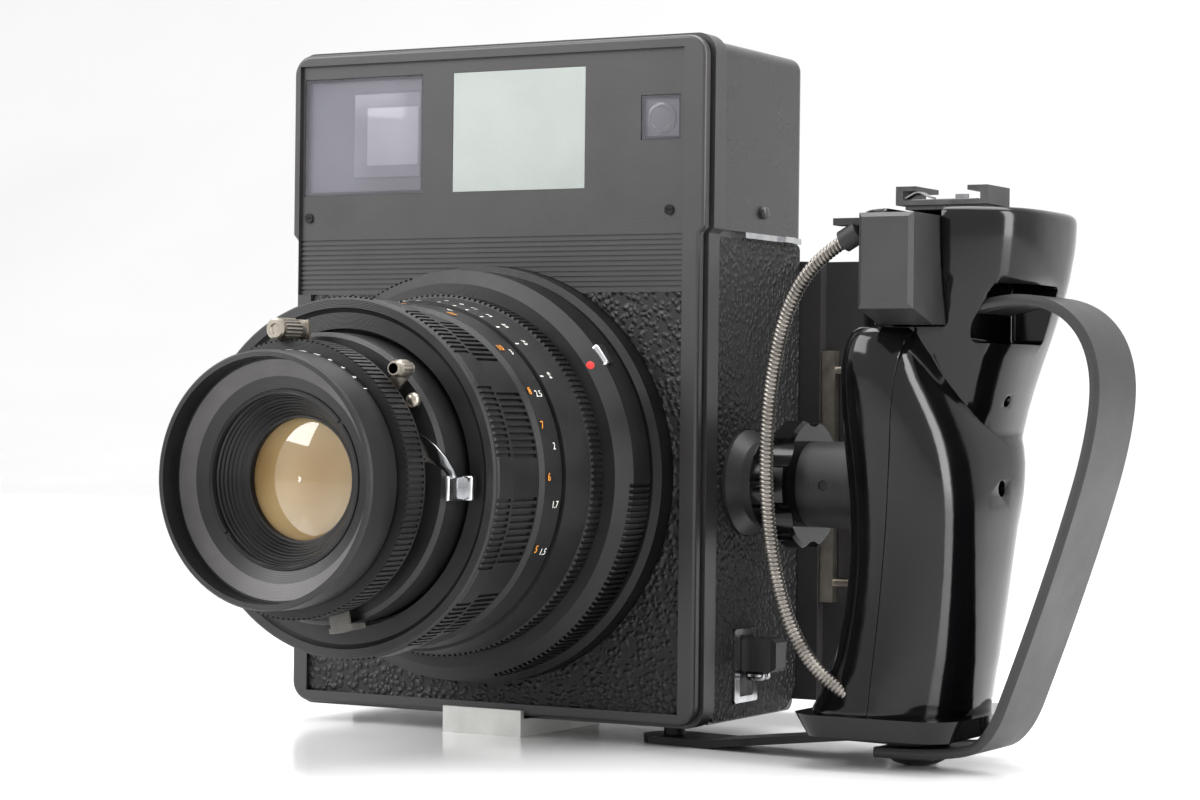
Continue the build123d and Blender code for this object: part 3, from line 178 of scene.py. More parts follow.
def turned_alloy(name, colours, rough, groove_mm=0.28, depth_mm=0.012):
    """Black anodised alloy with the fine rings that a lathe leaves about the lens axis."""
    made, tree, shader, coords = material(name, {"Metallic": 0.35, "Specular IOR Level": 0.5})
    centred = add(tree, "ShaderNodeMapping", {"Location": (0.0, 0.0, -AXIS_Z)}, {"Vector": coords})
    split = add(tree, "ShaderNodeSeparateXYZ", links={"Vector": centred.outputs["Vector"]})
    flat = add(tree, "ShaderNodeCombineXYZ", links={"X": split.outputs["X"], "Y": split.outputs["Z"]})
    reach = add(tree, "ShaderNodeVectorMath", {"operation": "LENGTH"}, {0: flat.outputs["Vector"]})
    both = add(tree, "ShaderNodeMath", {"operation": "ADD"},
               {0: reach.outputs["Value"], 1: split.outputs["Y"]})
    rings = add(tree, "ShaderNodeMath", {"operation": "MULTIPLY", 1: tau * per_mm(groove_mm)},
                {0: both.outputs["Value"]})
    wave = add(tree, "ShaderNodeMath", {"operation": "SINE"}, {0: rings.outputs["Value"]})
    patch = add(tree, "ShaderNodeTexNoise", {"Scale": per_mm(9.0), "Detail": 4.0}, {"Vector": coords})
    colour = add(tree, "ShaderNodeValToRGB", links={"Fac": patch.outputs["Fac"]},
                 stops=[(0.3, linear(colours[0])), (0.7, linear(colours[1]))])
    gloss = add(tree, "ShaderNodeValToRGB", links={"Fac": patch.outputs["Fac"]},
                stops=[(0.3, grey(rough[0])), (0.7, grey(rough[1]))])
    relief = add(tree, "ShaderNodeBump", {"Distance": depth_mm * MM}, {"Height": wave.outputs["Value"]})
    connect(tree, shader, {"Base Color": colour.outputs["Color"], "Roughness": gloss.outputs["Color"],
                           "Normal": relief.outputs["Normal"]})
    return made


def plated(name, dark, light, rough, scratch_mm):
    """Polished plating over steel with faint polishing lines and clouded patches."""
    made, tree, shader, coords = material(name, {"Metallic": 1.0})
    stretched = add(tree, "ShaderNodeMapping", {"Scale": (1.0, 1.0, 0.08)}, {"Vector": coords})
    line = add(tree, "ShaderNodeTexNoise", {"Scale": per_mm(scratch_mm), "Detail": 3.0},
               {"Vector": stretched.outputs["Vector"]})
    patch = add(tree, "ShaderNodeTexNoise", {"Scale": per_mm(5.0), "Detail": 4.0}, {"Vector": coords})
    colour = add(tree, "ShaderNodeValToRGB", links={"Fac": patch.outputs["Fac"]},
                 stops=[(0.3, linear(dark)), (0.7, linear(light))])
    gloss = add(tree, "ShaderNodeValToRGB", links={"Fac": line.outputs["Fac"]},
                stops=[(0.3, grey(rough[0])), (0.7, grey(rough[1]))])
    relief = add(tree, "ShaderNodeBump", {"Distance": 0.01 * MM}, {"Height": line.outputs["Fac"]})
    connect(tree, shader, {"Base Color": colour.outputs["Color"], "Roughness": gloss.outputs["Color"],
                           "Normal": relief.outputs["Normal"]})
    return made


def glass(name, dark, light, settings):
    """Polished optical glass; a slow tint change stands for the reflection colour of its coating."""
    made, tree, shader, coords = material(name, settings)
    tint = add(tree, "ShaderNodeTexNoise", {"Scale": per_mm(26.0), "Detail": 1.0}, {"Vector": coords})
    colour = add(tree, "ShaderNodeValToRGB", links={"Fac": tint.outputs["Fac"]},
                 stops=[(0.35, linear(dark)), (0.65, linear(light))])
    connect(tree, shader, {"Base Color": colour.outputs["Color"]})
    return made


# stoved enamel: an even satin black with a soft sheen along the body's edges
ENAMEL = grainy("satin_black_enamel", "#232122", "#2b292a", (0.38, 0.46),
                {"IOR": 1.5, "Coat Weight": 0.15, "Coat Roughness": 0.3}, 0.45, 0.03)
# the same enamel with more gloss: the lamps show as soft patches
GLOSS_ENAMEL = grainy("semigloss_black_enamel", "#121213", "#181819", (0.24, 0.32),
                      {"IOR": 1.5, "Coat Weight": 0.2, "Coat Roughness": 0.2}, 0.6, 0.02)
LEATHER = leatherette()
# anodised alloy: deep black with a tight ringed sheen that turns with the light
ANODISED = turned_alloy("black_anodised_alloy", ("#141415", "#1c1c1d"), (0.34, 0.42))
# bead-blasted and anodised: greyer, with a wide dull sheen
ANODISED_SATIN = turned_alloy("satin_anodised_alloy", ("#1c1c1d", "#262627"), (0.42, 0.5), 0.35, 0.02)
# a lever whose black has rubbed away to grey metal
WORN_ALLOY = turned_alloy("worn_anodised_alloy", ("#4b4a46", "#66645f"), (0.34, 0.46), 0.6, 0.01)
# undyed anodising: a mid grey band, duller than the black rings around it
NAME_GREY = turned_alloy("grey_anodised_ring", ("#444243", "#525051"), (0.42, 0.5), 0.2, 0.01)
# bright chrome: near white with dark edges where it mirrors the black body
CHROME = plated("polished_chrome", "#a9aaac", "#cdced0", (0.1, 0.22), 0.5)
# warm nickel, dulled by handling
NICKEL = plated("worn_nickel_plate", "#8f887e", "#b4ada3", (0.28, 0.42), 0.4)
# wound wire: grey metal whose turns each carry a short highlight
WIRE = plated("wound_steel_wire", "#6a6661", "#8d8882", (0.32, 0.46), 0.3)
# plain spring steel, cool grey
STEEL = plated("plain_steel", "#7b7b7d", "#99999b", (0.3, 0.45), 0.4)
# milled aluminium: pale, with a faint cutter grain
ALLOY = grainy("milled_aluminium", "#b9b9b6", "#d2d2cf", (0.35, 0.5), {"Metallic": 0.6}, 0.5, 0.03, 10.0)
# chemically blackened steel: near black, brown where it has worn
BLUED = grainy("blackened_steel_sheet", "#161617", "#2a2928", (0.35, 0.55), {"Metallic": 0.7}, 0.4, 0.02, 6.0)
# moulded plastic straight from a polished tool: black, mirroring the lamps in long soft streaks
GRIP = grainy("moulded_gloss_plastic", "#050506", "#09090a", (0.08, 0.15),
              {"IOR": 1.5, "Specular IOR Level": 0.3}, 5.0, 0.03, 24.0)
# plastic from a textured tool: dark grey with no clear reflections
SATIN_PLASTIC = grainy("satin_moulded_plastic", "#1d1d1e", "#262627", (0.36, 0.46), {"IOR": 1.5}, 0.5, 0.03)
# soft vinyl: dark grey, slightly mottled, dull
VINYL = grainy("moulded_grey_vinyl", "#171718", "#212122", (0.42, 0.52), {"IOR": 1.5}, 0.7, 0.04, 14.0)
# plated sheet: grey metal with a broad sheen
SHOE_METAL = grainy("grey_plated_sheet", "#3c3c3d", "#555556", (0.32, 0.45), {"Metallic": 0.9}, 0.5, 0.02,
                    6.0)
# window glass: lets the finder's parts through under a thin grey reflection
CLEAR = glass("clear_optical_glass", "#77767f", "#8f8e98",
              {"Roughness": 0.03, "IOR": 1.5, "Alpha": 0.22, "Coat Weight": 0.2})
# a bloomed lens: pale grey-violet with a bright mirror of the lamps
PALE_LENS = glass("coated_finder_lens", "#84838b", "#9c9aa3",
                  {"Roughness": 0.08, "IOR": 1.5, "Coat Weight": 0.3})
# the ground edge of that lens: a shade darker than its clear middle
LENS_EDGE = glass("ground_lens_edge", "#67666d", "#77757d", {"Roughness": 0.2, "IOR": 1.5})
# the rangefinder's lens: its darker colour is painted shade, the shadow of its port
PAINTED_SHADE_LENS = glass("shaded_finder_lens", "#413f40", "#5c5a5b",
                  {"Roughness": 0.1, "IOR": 1.5, "Coat Weight": 0.3})
# a matt mask: plain mid grey behind the glass
MASK_GREY = grainy("grey_finder_mask", "#4c4b51", "#5d5c63", (0.45, 0.6), {"IOR": 1.5}, 0.5, 0.02)
# a single amber coating: brown-gold at the rim and paler where it faces the lamps
AMBER = glass("amber_coated_glass", "#997c50", "#c0a87c",
              {"Transmission Weight": 0.35, "Roughness": 0.05, "IOR": 1.55, "Coat Weight": 0.6})
# opal window: pale grey-green, evenly lit, with no clear reflection
FROSTED = grainy("frosted_window_glass", "#939a96", "#a2a8a4", (0.5, 0.6),
                 {"IOR": 1.5, "Transmission Weight": 0.1}, 0.3, 0.04, 30.0)

FINISHES = {
    ENAMEL: ("front_bezel", "front_casting", "front_panel", "film_back_case", "rear_door", "arm_socket",
             "finder_bench", "back_lock_lever"),
    GLOSS_ENAMEL: ("top_housing", "body_shell"),
    LEATHER: ("front_leather", "side_leathers"),
    ANODISED: ("mount_flange", "lens_barrel", "depth_scale", "helicoid_sleeve", "shutter_case", "front_rim",
               "focus_ring", "front_cell", "speed_ring", "lock_ring"),
    NAME_GREY: ("name_ring",),
    WORN_ALLOY: ("sync_lever",),
    ANODISED_SATIN: ("eyepiece", "grip_arm", "cable_ferrule", "advance_lever"),
    CHROME: ("switch_frame", "lug_plate", "release_lever", "mirror_arm"),
    NICKEL: ("cocking_lever", "aperture_lever", "cable_release", "dark_slide", "door_latch"),
    STEEL: ("trigger_spring", "shoe_spring"),
    ALLOY: ("tripod_block",),
    BLUED: ("shutter_blades", "iris_blades", "grip_brace", "foot_screw", "pressure_plate", "panel_screws"),
    GRIP: ("grip_shell_inner", "grip_shell_outer", "grip_plinth", "star_knob"),
    SATIN_PLASTIC: ("trigger", "supply_spool", "take_up_spool"),
    VINYL: ("hand_strap",),
    SHOE_METAL: ("accessory_shoe",),
    CLEAR: ("finder_windows", "combining_prism", "rear_element"),
    AMBER: ("front_element",),
    FROSTED: ("illumination_window",),
}
for finish, names in FINISHES.items():
    for name in names:
        mesh = nodes[name].data
        mesh.materials.clear()
        mesh.materials.append(finish)


# ---------------------------------------------------------------- cable release
CABLE_D = 3.3 * MM
SHEATH_PITCH = 1.0 * MM
CABLE_ROUTE = [(105.6, -38.0, 119.6), (98.5, -37.6, 115.6), (91.4, -36.6, 106.0),
               (87.2, -35.6, 92.0), (85.0, -34.6, 76.0), (84.8, -33.6, 59.0), (86.8, -32.6, 43.0),
               (91.6, -32.6, 29.4), (100.6, -33.6, 19.2), (111.0, -33.8, 14.4)]


def spline_points(route, name):
    """Points along the route's own NURBS spline."""
    curve = bpy.data.curves.new(name, "CURVE")
    curve.dimensions = "3D"
    line = curve.splines.new("NURBS")
    line.points.add(len(route) - 1)
    for point, place in zip(line.points, route):
        point.co = (*[c * MM for c in place], 1.0)
    line.order_u = 3
    line.use_endpoint_u = True
    line.resolution_u = 24
    holder = bpy.data.objects.new(name, curve)
    bpy.context.scene.collection.objects.link(holder)
    mesh = bpy.data.meshes.new_from_object(holder)
    points = [v.co.copy() for v in mesh.vertices]
    bpy.data.objects.remove(holder)
    bpy.data.meshes.remove(mesh)
    return points


def evenly(points, step):
    """The same line with points a fixed step apart."""
    spaced = [points[0]]
    travelled = 0.0
    target = step
    for a, b in zip(points, points[1:]):
        run = (b - a).length
        while travelled + run >= target:
            spaced.append(a.lerp(b, (target - travelled) / run))
            target += step
        travelled += run
    return spaced, travelled


def wound_sheath(path, name):
    """A tube whose wall carries the close turns of a wound wire."""
    sides = 14
    steps_per_turn = 7
    line, total = evenly(path, SHEATH_PITCH / steps_per_turn)
    verts = []
    faces = []
    up = Vector((0, 1, 0))
    for i, place in enumerate(line):
        along = (line[min(i + 1, len(line) - 1)] - line[max(i - 1, 0)]).normalized()
        side = along.cross(up).normalized()
        top = side.cross(along)
        for j in range(sides):
            turn = tau * j / sides
            crown = abs(cos(pi * (i / steps_per_turn - j / sides)))
            r = CABLE_D / 2 - 0.32 * MM * (1 - crown) ** 1.2
            verts.append(place + side * (r * cos(turn)) + top * (r * sin(turn)))
    for i in range(len(line) - 1):
        for j in range(sides):
            k = (j + 1) % sides
            faces.append((i * sides + j, i * sides + k, (i + 1) * sides + k, (i + 1) * sides + j))
    faces.append(tuple(range(sides))[::-1])
    faces.append(tuple((len(line) - 1) * sides + j for j in range(sides)))
    mesh = bpy.data.meshes.new(name)
    mesh.from_pydata(verts, [], faces)
    piece = bpy.data.objects.new(name, mesh)
    bpy.context.scene.collection.objects.link(piece)
    return piece, total


cable_path = spline_points(CABLE_ROUTE, "cable_route")
sheath, sheath_length = wound_sheath(cable_path, "cable_sheath")
settle(sheath, "cable_sheath", "camera_body", WIRE, 60)
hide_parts("cable_release")


# ---------------------------------------------------------------- grip
OUTLINE_POINTS = 48


def section_points(z, spec):
    """A rounded-square outline: middle, half sizes, squareness and turn at one height."""
    mid_x, half_x, mid_y, half_y, square, turn = spec
    points = []
    for i in range(OUTLINE_POINTS):
        a = tau * i / OUTLINE_POINTS
        c, s = cos(a), sin(a)
        x = half_x * abs(c) ** (2 / square) * (1 if c >= 0 else -1)
        y = half_y * abs(s) ** (2 / square) * (1 if s >= 0 else -1)
        t = radians(turn)
        points.append(Vector((mid_x + x * cos(t) - y * sin(t), mid_y + x * sin(t) + y * cos(t), z)) * MM)
    return points


def lofted(name, rows):
    """A closed solid through outlines at rising heights: (height, six outline values)."""
    rings = []
    steps = 3
    for (z0, a), (z1, b) in zip(rows, rows[1:]):
        for k in range(steps):
            t = k / steps
            rings.append((z0 + (z1 - z0) * t, [p + (q - p) * t for p, q in zip(a, b)]))
    rings.append(rows[-1])
    smooth = []
    for i, (z, values) in enumerate(rings):
        near = rings[max(0, i - 2):i + 3]
        if 1 < i < len(rings) - 2:
            values = [sum(r[1][k] for r in near) / len(near) for k in range(6)]
        smooth.append((z, values))
    verts = [p for z, values in smooth for p in section_points(z, values)]
    count = OUTLINE_POINTS
    faces = [(i * count + j, i * count + (j + 1) % count, (i + 1) * count + (j + 1) % count,
              (i + 1) * count + j)
             for i in range(len(smooth) - 1) for j in range(count)]
    faces.append(tuple(range(count))[::-1])
    faces.append(tuple((len(smooth) - 1) * count + j for j in range(count)))
    mesh = bpy.data.meshes.new(name)
    mesh.from_pydata(verts, [], faces)
    piece = bpy.data.objects.new(name, mesh)
    bpy.context.scene.collection.objects.link(piece)
    return piece


def apply(piece, kind, **settings):
    """Add a modifier, set it and apply it."""
    deselect()
    bpy.context.view_layer.objects.active = piece
    piece.select_set(True)
    made = piece.modifiers.new(kind.lower(), kind)
    for key, value in settings.items():
        setattr(made, key, value)
    bpy.ops.object.modifier_apply(modifier=made.name)
    return piece


def joined_shape(piece, other, operation):
    """Boolean with another piece, which is used up."""
    apply(piece, "BOOLEAN", object=other, operation=operation, solver="EXACT")
    bpy.data.objects.remove(other)
    return piece


def bar(name, low, high, edge_mm=0.6, segments=3):
    """A box between two corners in millimetres, with rounded edges."""
    deselect()
    middle = [(a + b) / 2 * MM for a, b in zip(low, high)]
    bpy.ops.mesh.primitive_cube_add(size=1, location=middle)
    made = bpy.context.object
    made.name = name
    made.scale = [(b - a) * MM for a, b in zip(low, high)]
    bpy.ops.object.transform_apply(location=True, scale=True)
    if edge_mm:
        apply(made, "BEVEL", width=edge_mm * MM, segments=segments)
    return made


def lathe(name, start, axis, stations, sides=48):
    """A turned piece: stations of (distance, radius) in mm along an axis from a start point in mm."""
    deselect()
    along = Vector(axis).normalized()
    origin = Vector(start) * MM
    first_at, first_r = stations[0]
    bpy.ops.mesh.primitive_circle_add(vertices=sides, radius=first_r * MM, fill_type="NGON",
                                      location=origin + along * (first_at * MM))
    made = bpy.context.object
    made.rotation_mode = "QUATERNION"
    made.rotation_quaternion = along.to_track_quat("Z", "Y")
    bpy.ops.object.transform_apply(location=True, rotation=True)
    bpy.ops.object.mode_set(mode="EDIT")
    bpy.ops.mesh.select_all(action="SELECT")
    for (at, r), (next_at, next_r) in zip(stations, stations[1:]):
        bpy.ops.mesh.extrude_region_move(TRANSFORM_OT_translate={"value": along * ((next_at - at) * MM)})
        grow = next_r / r
        bpy.ops.transform.resize(value=(grow,) * 3, center_override=origin + along * (next_at * MM))
    bpy.ops.mesh.select_all(action="SELECT")
    bpy.ops.mesh.normals_make_consistent(inside=False)
    bpy.ops.object.mode_set(mode="OBJECT")
    made.name = name
    return made


# low and high corners of the hollows cut in the grip, in mm
TRIGGER_POCKET = ((113.0, -60.0, 100.6), (127.0, -17.5, 131.0))
STRAP_RECESS = ((131.5, -27.0, 97.0), (160.0, -1.0, 110.5))


def grip_halves():
    """The moulded grip: a finger block in front, a palm swell behind, parted along its seam."""
    # height, then middle across, half width, middle fore and aft, half depth, squareness, turn
    block_rows = [
        (12.4, (109.8, 19.2, -12.0, 24.2, 2.3, 0)), (16.0, (110.8, 18.4, -12.0, 24.0, 2.3, 0)),
        (25.0, (113.8, 17.0, -12.0, 23.4, 2.4, 0)), (39.0, (116.0, 15.8, -11.0, 23.6, 2.6, 0)),
        (55.0, (117.0, 15.6, -10.0, 25.0, 2.9, 0)), (66.0, (117.6, 16.0, -10.0, 26.0, 3.0, -4)),
        (77.0, (116.8, 15.4, -11.0, 26.5, 3.0, -6)), (86.0, (114.8, 13.2, -13.0, 25.5, 3.0, -6)),
        (94.0, (112.6, 10.9, -15.0, 23.5, 2.8, -4)), (99.0, (111.4, 9.2, -17.0, 20.0, 2.5, 0)),
        (100.4, (111.4, 7.4, -18.0, 17.0, 2.3, 0)),
    ]
    palm_rows = [
        (30.0, (113.6, 10.0, -2.0, 12.0, 2.2, 0)), (42.0, (114.4, 12.6, -1.5, 16.0, 2.3, 0)),
        (54.0, (114.8, 14.2, -1.0, 18.0, 2.4, 0)), (68.0, (115.2, 15.6, -1.5, 19.0, 2.4, 0)),
        (82.0, (116.8, 17.0, -3.0, 20.5, 2.5, 0)), (94.0, (119.0, 19.0, -4.5, 22.5, 2.6, 0)),
        (106.0, (121.4, 20.8, -5.5, 25.0, 2.8, 0)), (116.0, (122.6, 21.6, -6.0, 26.5, 3.0, 0)),
        (124.0, (123.0, 22.0, -6.0, 27.0, 3.0, 0)), (126.6, (123.0, 21.8, -6.0, 26.8, 3.0, 0)),
        (127.4, (123.0, 20.8, -6.0, 25.8, 3.0, 0)),
    ]
    whole = joined_shape(lofted("grip_block", block_rows), lofted("palm_swell", palm_rows), "UNION")
    for low, high in (TRIGGER_POCKET, STRAP_RECESS):
        whole = joined_shape(whole, bar("pocket", low, high, 1.2), "DIFFERENCE")
    whole = joined_shape(whole, lathe("arm_bore", (90, ARM_Y, ARM_Z), (1, 0, 0), [(0, 10.6), (14, 10.6)]),
                         "DIFFERENCE")
    for z, r in ((84.0, 1.3), (64.0, 1.9)):
        whole = joined_shape(whole, lathe("screw_hole", (126, -10, z), (1, 0, 0), [(0, r), (20, r)], 24),
                             "DIFFERENCE")
    seam_point = Vector((115.0, 0, 52.0)) * MM
    seam_gap = 0.16 * MM
    seam_normal = Vector((1, 0, -0.085)).normalized()
    for name, side in (("grip_half_inner", -1), ("grip_half_outer", 1)):
        half = whole.copy()
        half.data = whole.data.copy()
        bpy.context.scene.collection.objects.link(half)
        deselect()
        half.select_set(True)
        bpy.context.view_layer.objects.active = half
        bpy.ops.object.mode_set(mode="EDIT")
        bpy.ops.mesh.select_all(action="SELECT")
        bpy.ops.mesh.bisect(plane_co=seam_point + seam_normal * (side * seam_gap / 2), plane_no=seam_normal,
                            use_fill=True, clear_inner=side > 0, clear_outer=side < 0)
        bpy.ops.object.mode_set(mode="OBJECT")
        apply(half, "BEVEL", width=0.25 * MM, segments=2, limit_method="ANGLE", angle_limit=radians(50))
        settle(half, name, "camera_body", GRIP, 40)
    bpy.data.objects.remove(whole)
    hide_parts("grip_shell_inner")
    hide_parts("grip_shell_outer")


# ---------------------------------------------------------------- hand strap
STRAP_Y = -14.0
STRAP_W = 25.0
STRAP_T = 2.4
STRAP_ROUTE = [(130.8, 104.8), (139.6, 107.0), (148.4, 106.4), (155.0, 103.0), (159.6, 96.6), (161.4, 87.0),
               (159.4, 73.0), (154.4, 56.0), (148.0, 37.0), (142.0, 20.6), (137.6, 9.2), (130.6, 3.6),
               (109.0, 3.6)]


def hand_strap():
    """A moulded band with a raised bead along each edge and a groove beside it."""
    path = spline_points([(x, STRAP_Y, z) for x, z in STRAP_ROUTE], "strap_route")
    line, _ = evenly(path, 1.6 * MM)
    half = STRAP_W / 2
    thick = STRAP_T / 2
    # across the strap: place from the middle and height of the outer face
    profile = [(-half, 0.2), (-half + 0.3, thick - 0.1), (-half + 0.8, thick), (-half + 2.3, thick),
               (-half + 2.6, thick - 0.9), (-half + 3.3, thick - 0.9), (-half + 3.6, thick - 0.1),
               (-half + 5.3, thick - 0.1), (-half + 5.5, thick - 0.7), (-half + 6.0, thick - 0.7),
               (-half + 6.3, thick - 0.12)]
    outer = profile + [(-a, h) for a, h in profile[::-1]]
    inner = [(half, -0.2), (half - 0.5, -thick), (-half + 0.5, -thick), (-half, -0.2)]
    around = outer + inner
    verts = []
    for i, place in enumerate(line):
        along = (line[min(i + 1, len(line) - 1)] - line[max(i - 1, 0)]).normalized()
        out = Vector((0, 1, 0)).cross(along).normalized() * -1
        verts += [place + Vector((0, a, 0)) * MM - out * (h * MM) for a, h in around]
    count = len(around)
    faces = [(i * count + j, i * count + (j + 1) % count, (i + 1) * count + (j + 1) % count,
              (i + 1) * count + j)
             for i in range(len(line) - 1) for j in range(count)]
    faces.append(tuple(range(count))[::-1])
    faces.append(tuple((len(line) - 1) * count + j for j in range(count)))
    mesh = bpy.data.meshes.new("strap_band")
    mesh.from_pydata(verts, [], faces)
    piece = bpy.data.objects.new("strap_band", mesh)
    bpy.context.scene.collection.objects.link(piece)
    deselect()
    piece.select_set(True)
    bpy.context.view_layer.objects.active = piece
    bpy.ops.object.mode_set(mode="EDIT")
    bpy.ops.mesh.select_all(action="SELECT")
    bpy.ops.mesh.normals_make_consistent(inside=False)
    bpy.ops.object.mode_set(mode="OBJECT")
    settle(piece, "strap_band", "camera_body", VINYL, 50)
    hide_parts("hand_strap")


# ---------------------------------------------------------------- lens details
def flat_paint(name, dark, light):
    """Paint filled into engraving: matt, a little uneven."""
    return grainy(name, dark, light, (0.5, 0.65), {"IOR": 1.5}, 0.2, 0.01, 1.5)


# off-white paint in the metre, aperture and speed numbers
WHITE_FILL = flat_paint("white_engraving_fill", "#c9c9c2", "#e6e6df")
# the warm yellow-orange of the feet numbers
ORANGE_FILL = flat_paint("orange_engraving_fill", "#c8781a", "#e59a34")
# a bright red dot that marks where the lens locks
RED_FILL = flat_paint("red_engraving_fill", "#b01818", "#d02a20")


def on_ring(piece, at, radius, angle, turn):
    """Wrap a flat piece, drawn about its own origin, on a ring of the lens: x runs to the rear."""
    for v in piece.data.vertices:
        x, y = v.co.x, v.co.y
        t = radians(turn)
        back, around = x * cos(t) - y * sin(t), x * sin(t) + y * cos(t)
        a = radians(angle) + around / (radius * MM)
        r = radius * MM + v.co.z
        v.co = (r * cos(a), FRONT - at * MM + back, AXIS_Z + r * sin(a))


def number(text, at, radius, angle, height_mm, turn=0):
    """One engraved number on a lens ring, as a raised skin of paint."""
    deselect()
    bpy.ops.object.text_add()
    made = bpy.context.object
    made.data.body = text
    made.data.size = height_mm * 1.4 * MM
    made.data.extrude = 0.03 * MM
    made.data.align_x = "CENTER"
    made.data.align_y = "CENTER"
    made.data.resolution_u = 2
    bpy.ops.object.convert(target="MESH")
    on_ring(made, at, radius, angle, turn)
    return made


def tick(at, radius, angle, length_mm, width_mm=0.35):
    """One engraved line along a lens ring."""
    deselect()
    bpy.ops.mesh.primitive_cube_add(size=1)
    made = bpy.context.object
    made.scale = (length_mm * MM, width_mm * MM, 0.08 * MM)
    bpy.ops.object.transform_apply(scale=True)
    on_ring(made, at, radius, angle, 0)
    return made


def joined(pieces, name, body, finish):
    """Join like pieces into one object."""
    deselect()
    for piece in pieces:
        piece.select_set(True)
    bpy.context.view_layer.objects.active = pieces[0]
    bpy.ops.object.join()
    return settle(pieces[0], name, body, finish)


def scales():
    """Distances on the focusing ring, apertures on the fixed ring and speeds behind the front rim."""
    feet = [("5", -23), ("6", 1), ("7", 18), ("8", 30), ("10", 48), ("12", 70), ("15", 90), ("20", 112),
            ("30", 138),
            ("50", 160)]
    metres = [("1.5", -24), ("1.7", -8), ("2", 11), ("2.5", 29), ("3", 46), ("4", 74), ("5", 97), ("7", 122),
              ("10", 146)]
    joined([number(text, 39.9, 41.05, angle, 1.9) for text, angle in feet], "feet_numbers", "focus_ring",
           ORANGE_FILL)
    joined([number(text, 36.6, 41.12, angle, 1.7) for text, angle in metres], "metre_numbers", "focus_ring",
           WHITE_FILL)
    stops = [("4", 8), ("8", 14), ("11", 19), ("16", 25), ("22", 32), ("32", 41), ("64", 55)]
    marks = [tick(32.2, 41.98, 90, 2.4, 0.5)]
    for text, away in stops:
        for side in (-1, 1):
            marks.append(tick(32.4, 41.97, 90 + side * away, 1.6))
            marks.append(number(text, 29.6, 42.42, 90 + side * away, 1.4, -90))
    joined(marks, "depth_marks", "camera_body", WHITE_FILL)
    speeds = ["1", "2", "4", "8", "15", "30", "60", "125", "250", "500"]
    joined([number(text, 85.7, 29.06, 45 + 7.5 * i, 1.2, -90) for i, text in enumerate(speeds)],
           "speed_numbers",
           "lens_head", WHITE_FILL)


def knurled(name, start, axis, stations, sides, depth_mm, band):
    """A turned piece whose surface between two stations has straight knurling."""
    made = lathe(name, start, axis, stations, sides * 2)
    along = Vector(axis).normalized()
    origin = Vector(start) * MM
    for v in made.data.vertices:
        away = v.co - origin
        reach = away.dot(along)
        if band[0] * MM - 1e-6 <= reach <= band[1] * MM + 1e-6:
            out = away - along * reach
            spoke = round(atan2(out.dot(Vector((0, 0, 1))), out.dot(Vector((1, 0, 0)))) / (pi / sides))
            if spoke % 2:
                v.co -= out.normalized() * (depth_mm * MM)
    return made


def lever_heads():
    """The knurled cocking pin, the small aperture head and the round-headed ball screw."""
    pin = knurled("cocking_knurl", ahead(78.2, 33.9, 95.0) / MM, FORWARD,
                  [(-2.4, 1.6), (-2.4, 2.0), (1.5, 2.0), (1.5, 2.55), (7.4, 2.55), (7.4, 2.2), (7.8, 2.45),
                   (8.6, 2.45),
                   (8.9, 2.0), (8.9, 1.2), (8.6, 1.0)], 18, 0.28, (1.5, 7.4))
    settle(pin, "cocking_knurl", "cocking_lever", NICKEL, 30)
    head = knurled("aperture_head", ahead(75.0, 34.9, 46.0) / MM, FORWARD,
                   [(0, 1.5), (0, 1.9), (0.4, 2.05), (3.4, 2.05), (3.8, 1.8), (4.9, 1.6), (5.2, 1.2)], 14,
                   0.2,
                   (0.4, 3.4))
    settle(head, "aperture_head", "aperture_lever", NICKEL, 30)
    ball = lathe("ball_screw", ahead(72.6, 31.6, 35.0) / MM, FORWARD,
                 [(0, 1.0), (0.8, 1.0), (0.9, 1.5), (1.6, 1.75), (2.4, 1.6), (3.0, 1.1), (3.2, 0.5)], 20)
    settle(ball, "ball_screw", "lens_head", NICKEL, 60)


RELEASE_PLANE = 73.0        # the release lever's ring, ahead of the bezel


def release_blade():
    """A polished blade that curves out of the shutter and ends in a square tab bent to the rear."""
    deselect()
    outline = [(-7.0, 26.5), (-5.0, 29.6), (-2.5, 32.2), (0.6, 34.4), (3.6, 35.8), (5.2, 36.2), (5.5, 34.9),
               (3.2, 33.2), (1.4, 30.8), (0.2, 27.6), (-0.6, 24.6), (-4.0, 24.4)]
    mesh = bpy.data.meshes.new("release_blade")
    turn = radians(10.0)
    points = [(out * cos(turn) + across * sin(turn), -across * cos(turn) + out * sin(turn))
              for across, out in outline]
    mesh.from_pydata([(x * MM, FRONT - RELEASE_PLANE * MM, AXIS_Z + z * MM) for x, z in points], [],
                     [tuple(range(len(points)))])
    blade = bpy.data.objects.new("release_blade", mesh)
    bpy.context.scene.collection.objects.link(blade)
    apply(blade, "SOLIDIFY", thickness=0.8 * MM, offset=0)
    apply(blade, "BEVEL", width=0.15 * MM, segments=2)
    plane = FRONT_MM - RELEASE_PLANE
    low, high = AXIS_MM - 4.2, AXIS_MM + 1.4
    tab = bar("release_tab", (34.3, plane - 1.2, low), (35.3, plane + 7.2, high), 0.45)
    pad = bar("release_pad", (34.4, plane + 5.0, low), (37.4, plane + 7.4, high), 0.45)
    hub = lathe("release_hub", ahead(RELEASE_PLANE) / MM, FORWARD, [(0, 26.0), (0.7, 26.0)], 64)
    bore = lathe("bore", ahead(RELEASE_PLANE - 1) / MM, FORWARD, [(0, 23.05), (3, 23.05)], 64)
    hub = joined_shape(hub, bore, "DIFFERENCE")
    whole = joined([blade, tab, pad, hub], "release_blade", "release_lever", CHROME)
    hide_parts("release_lever")


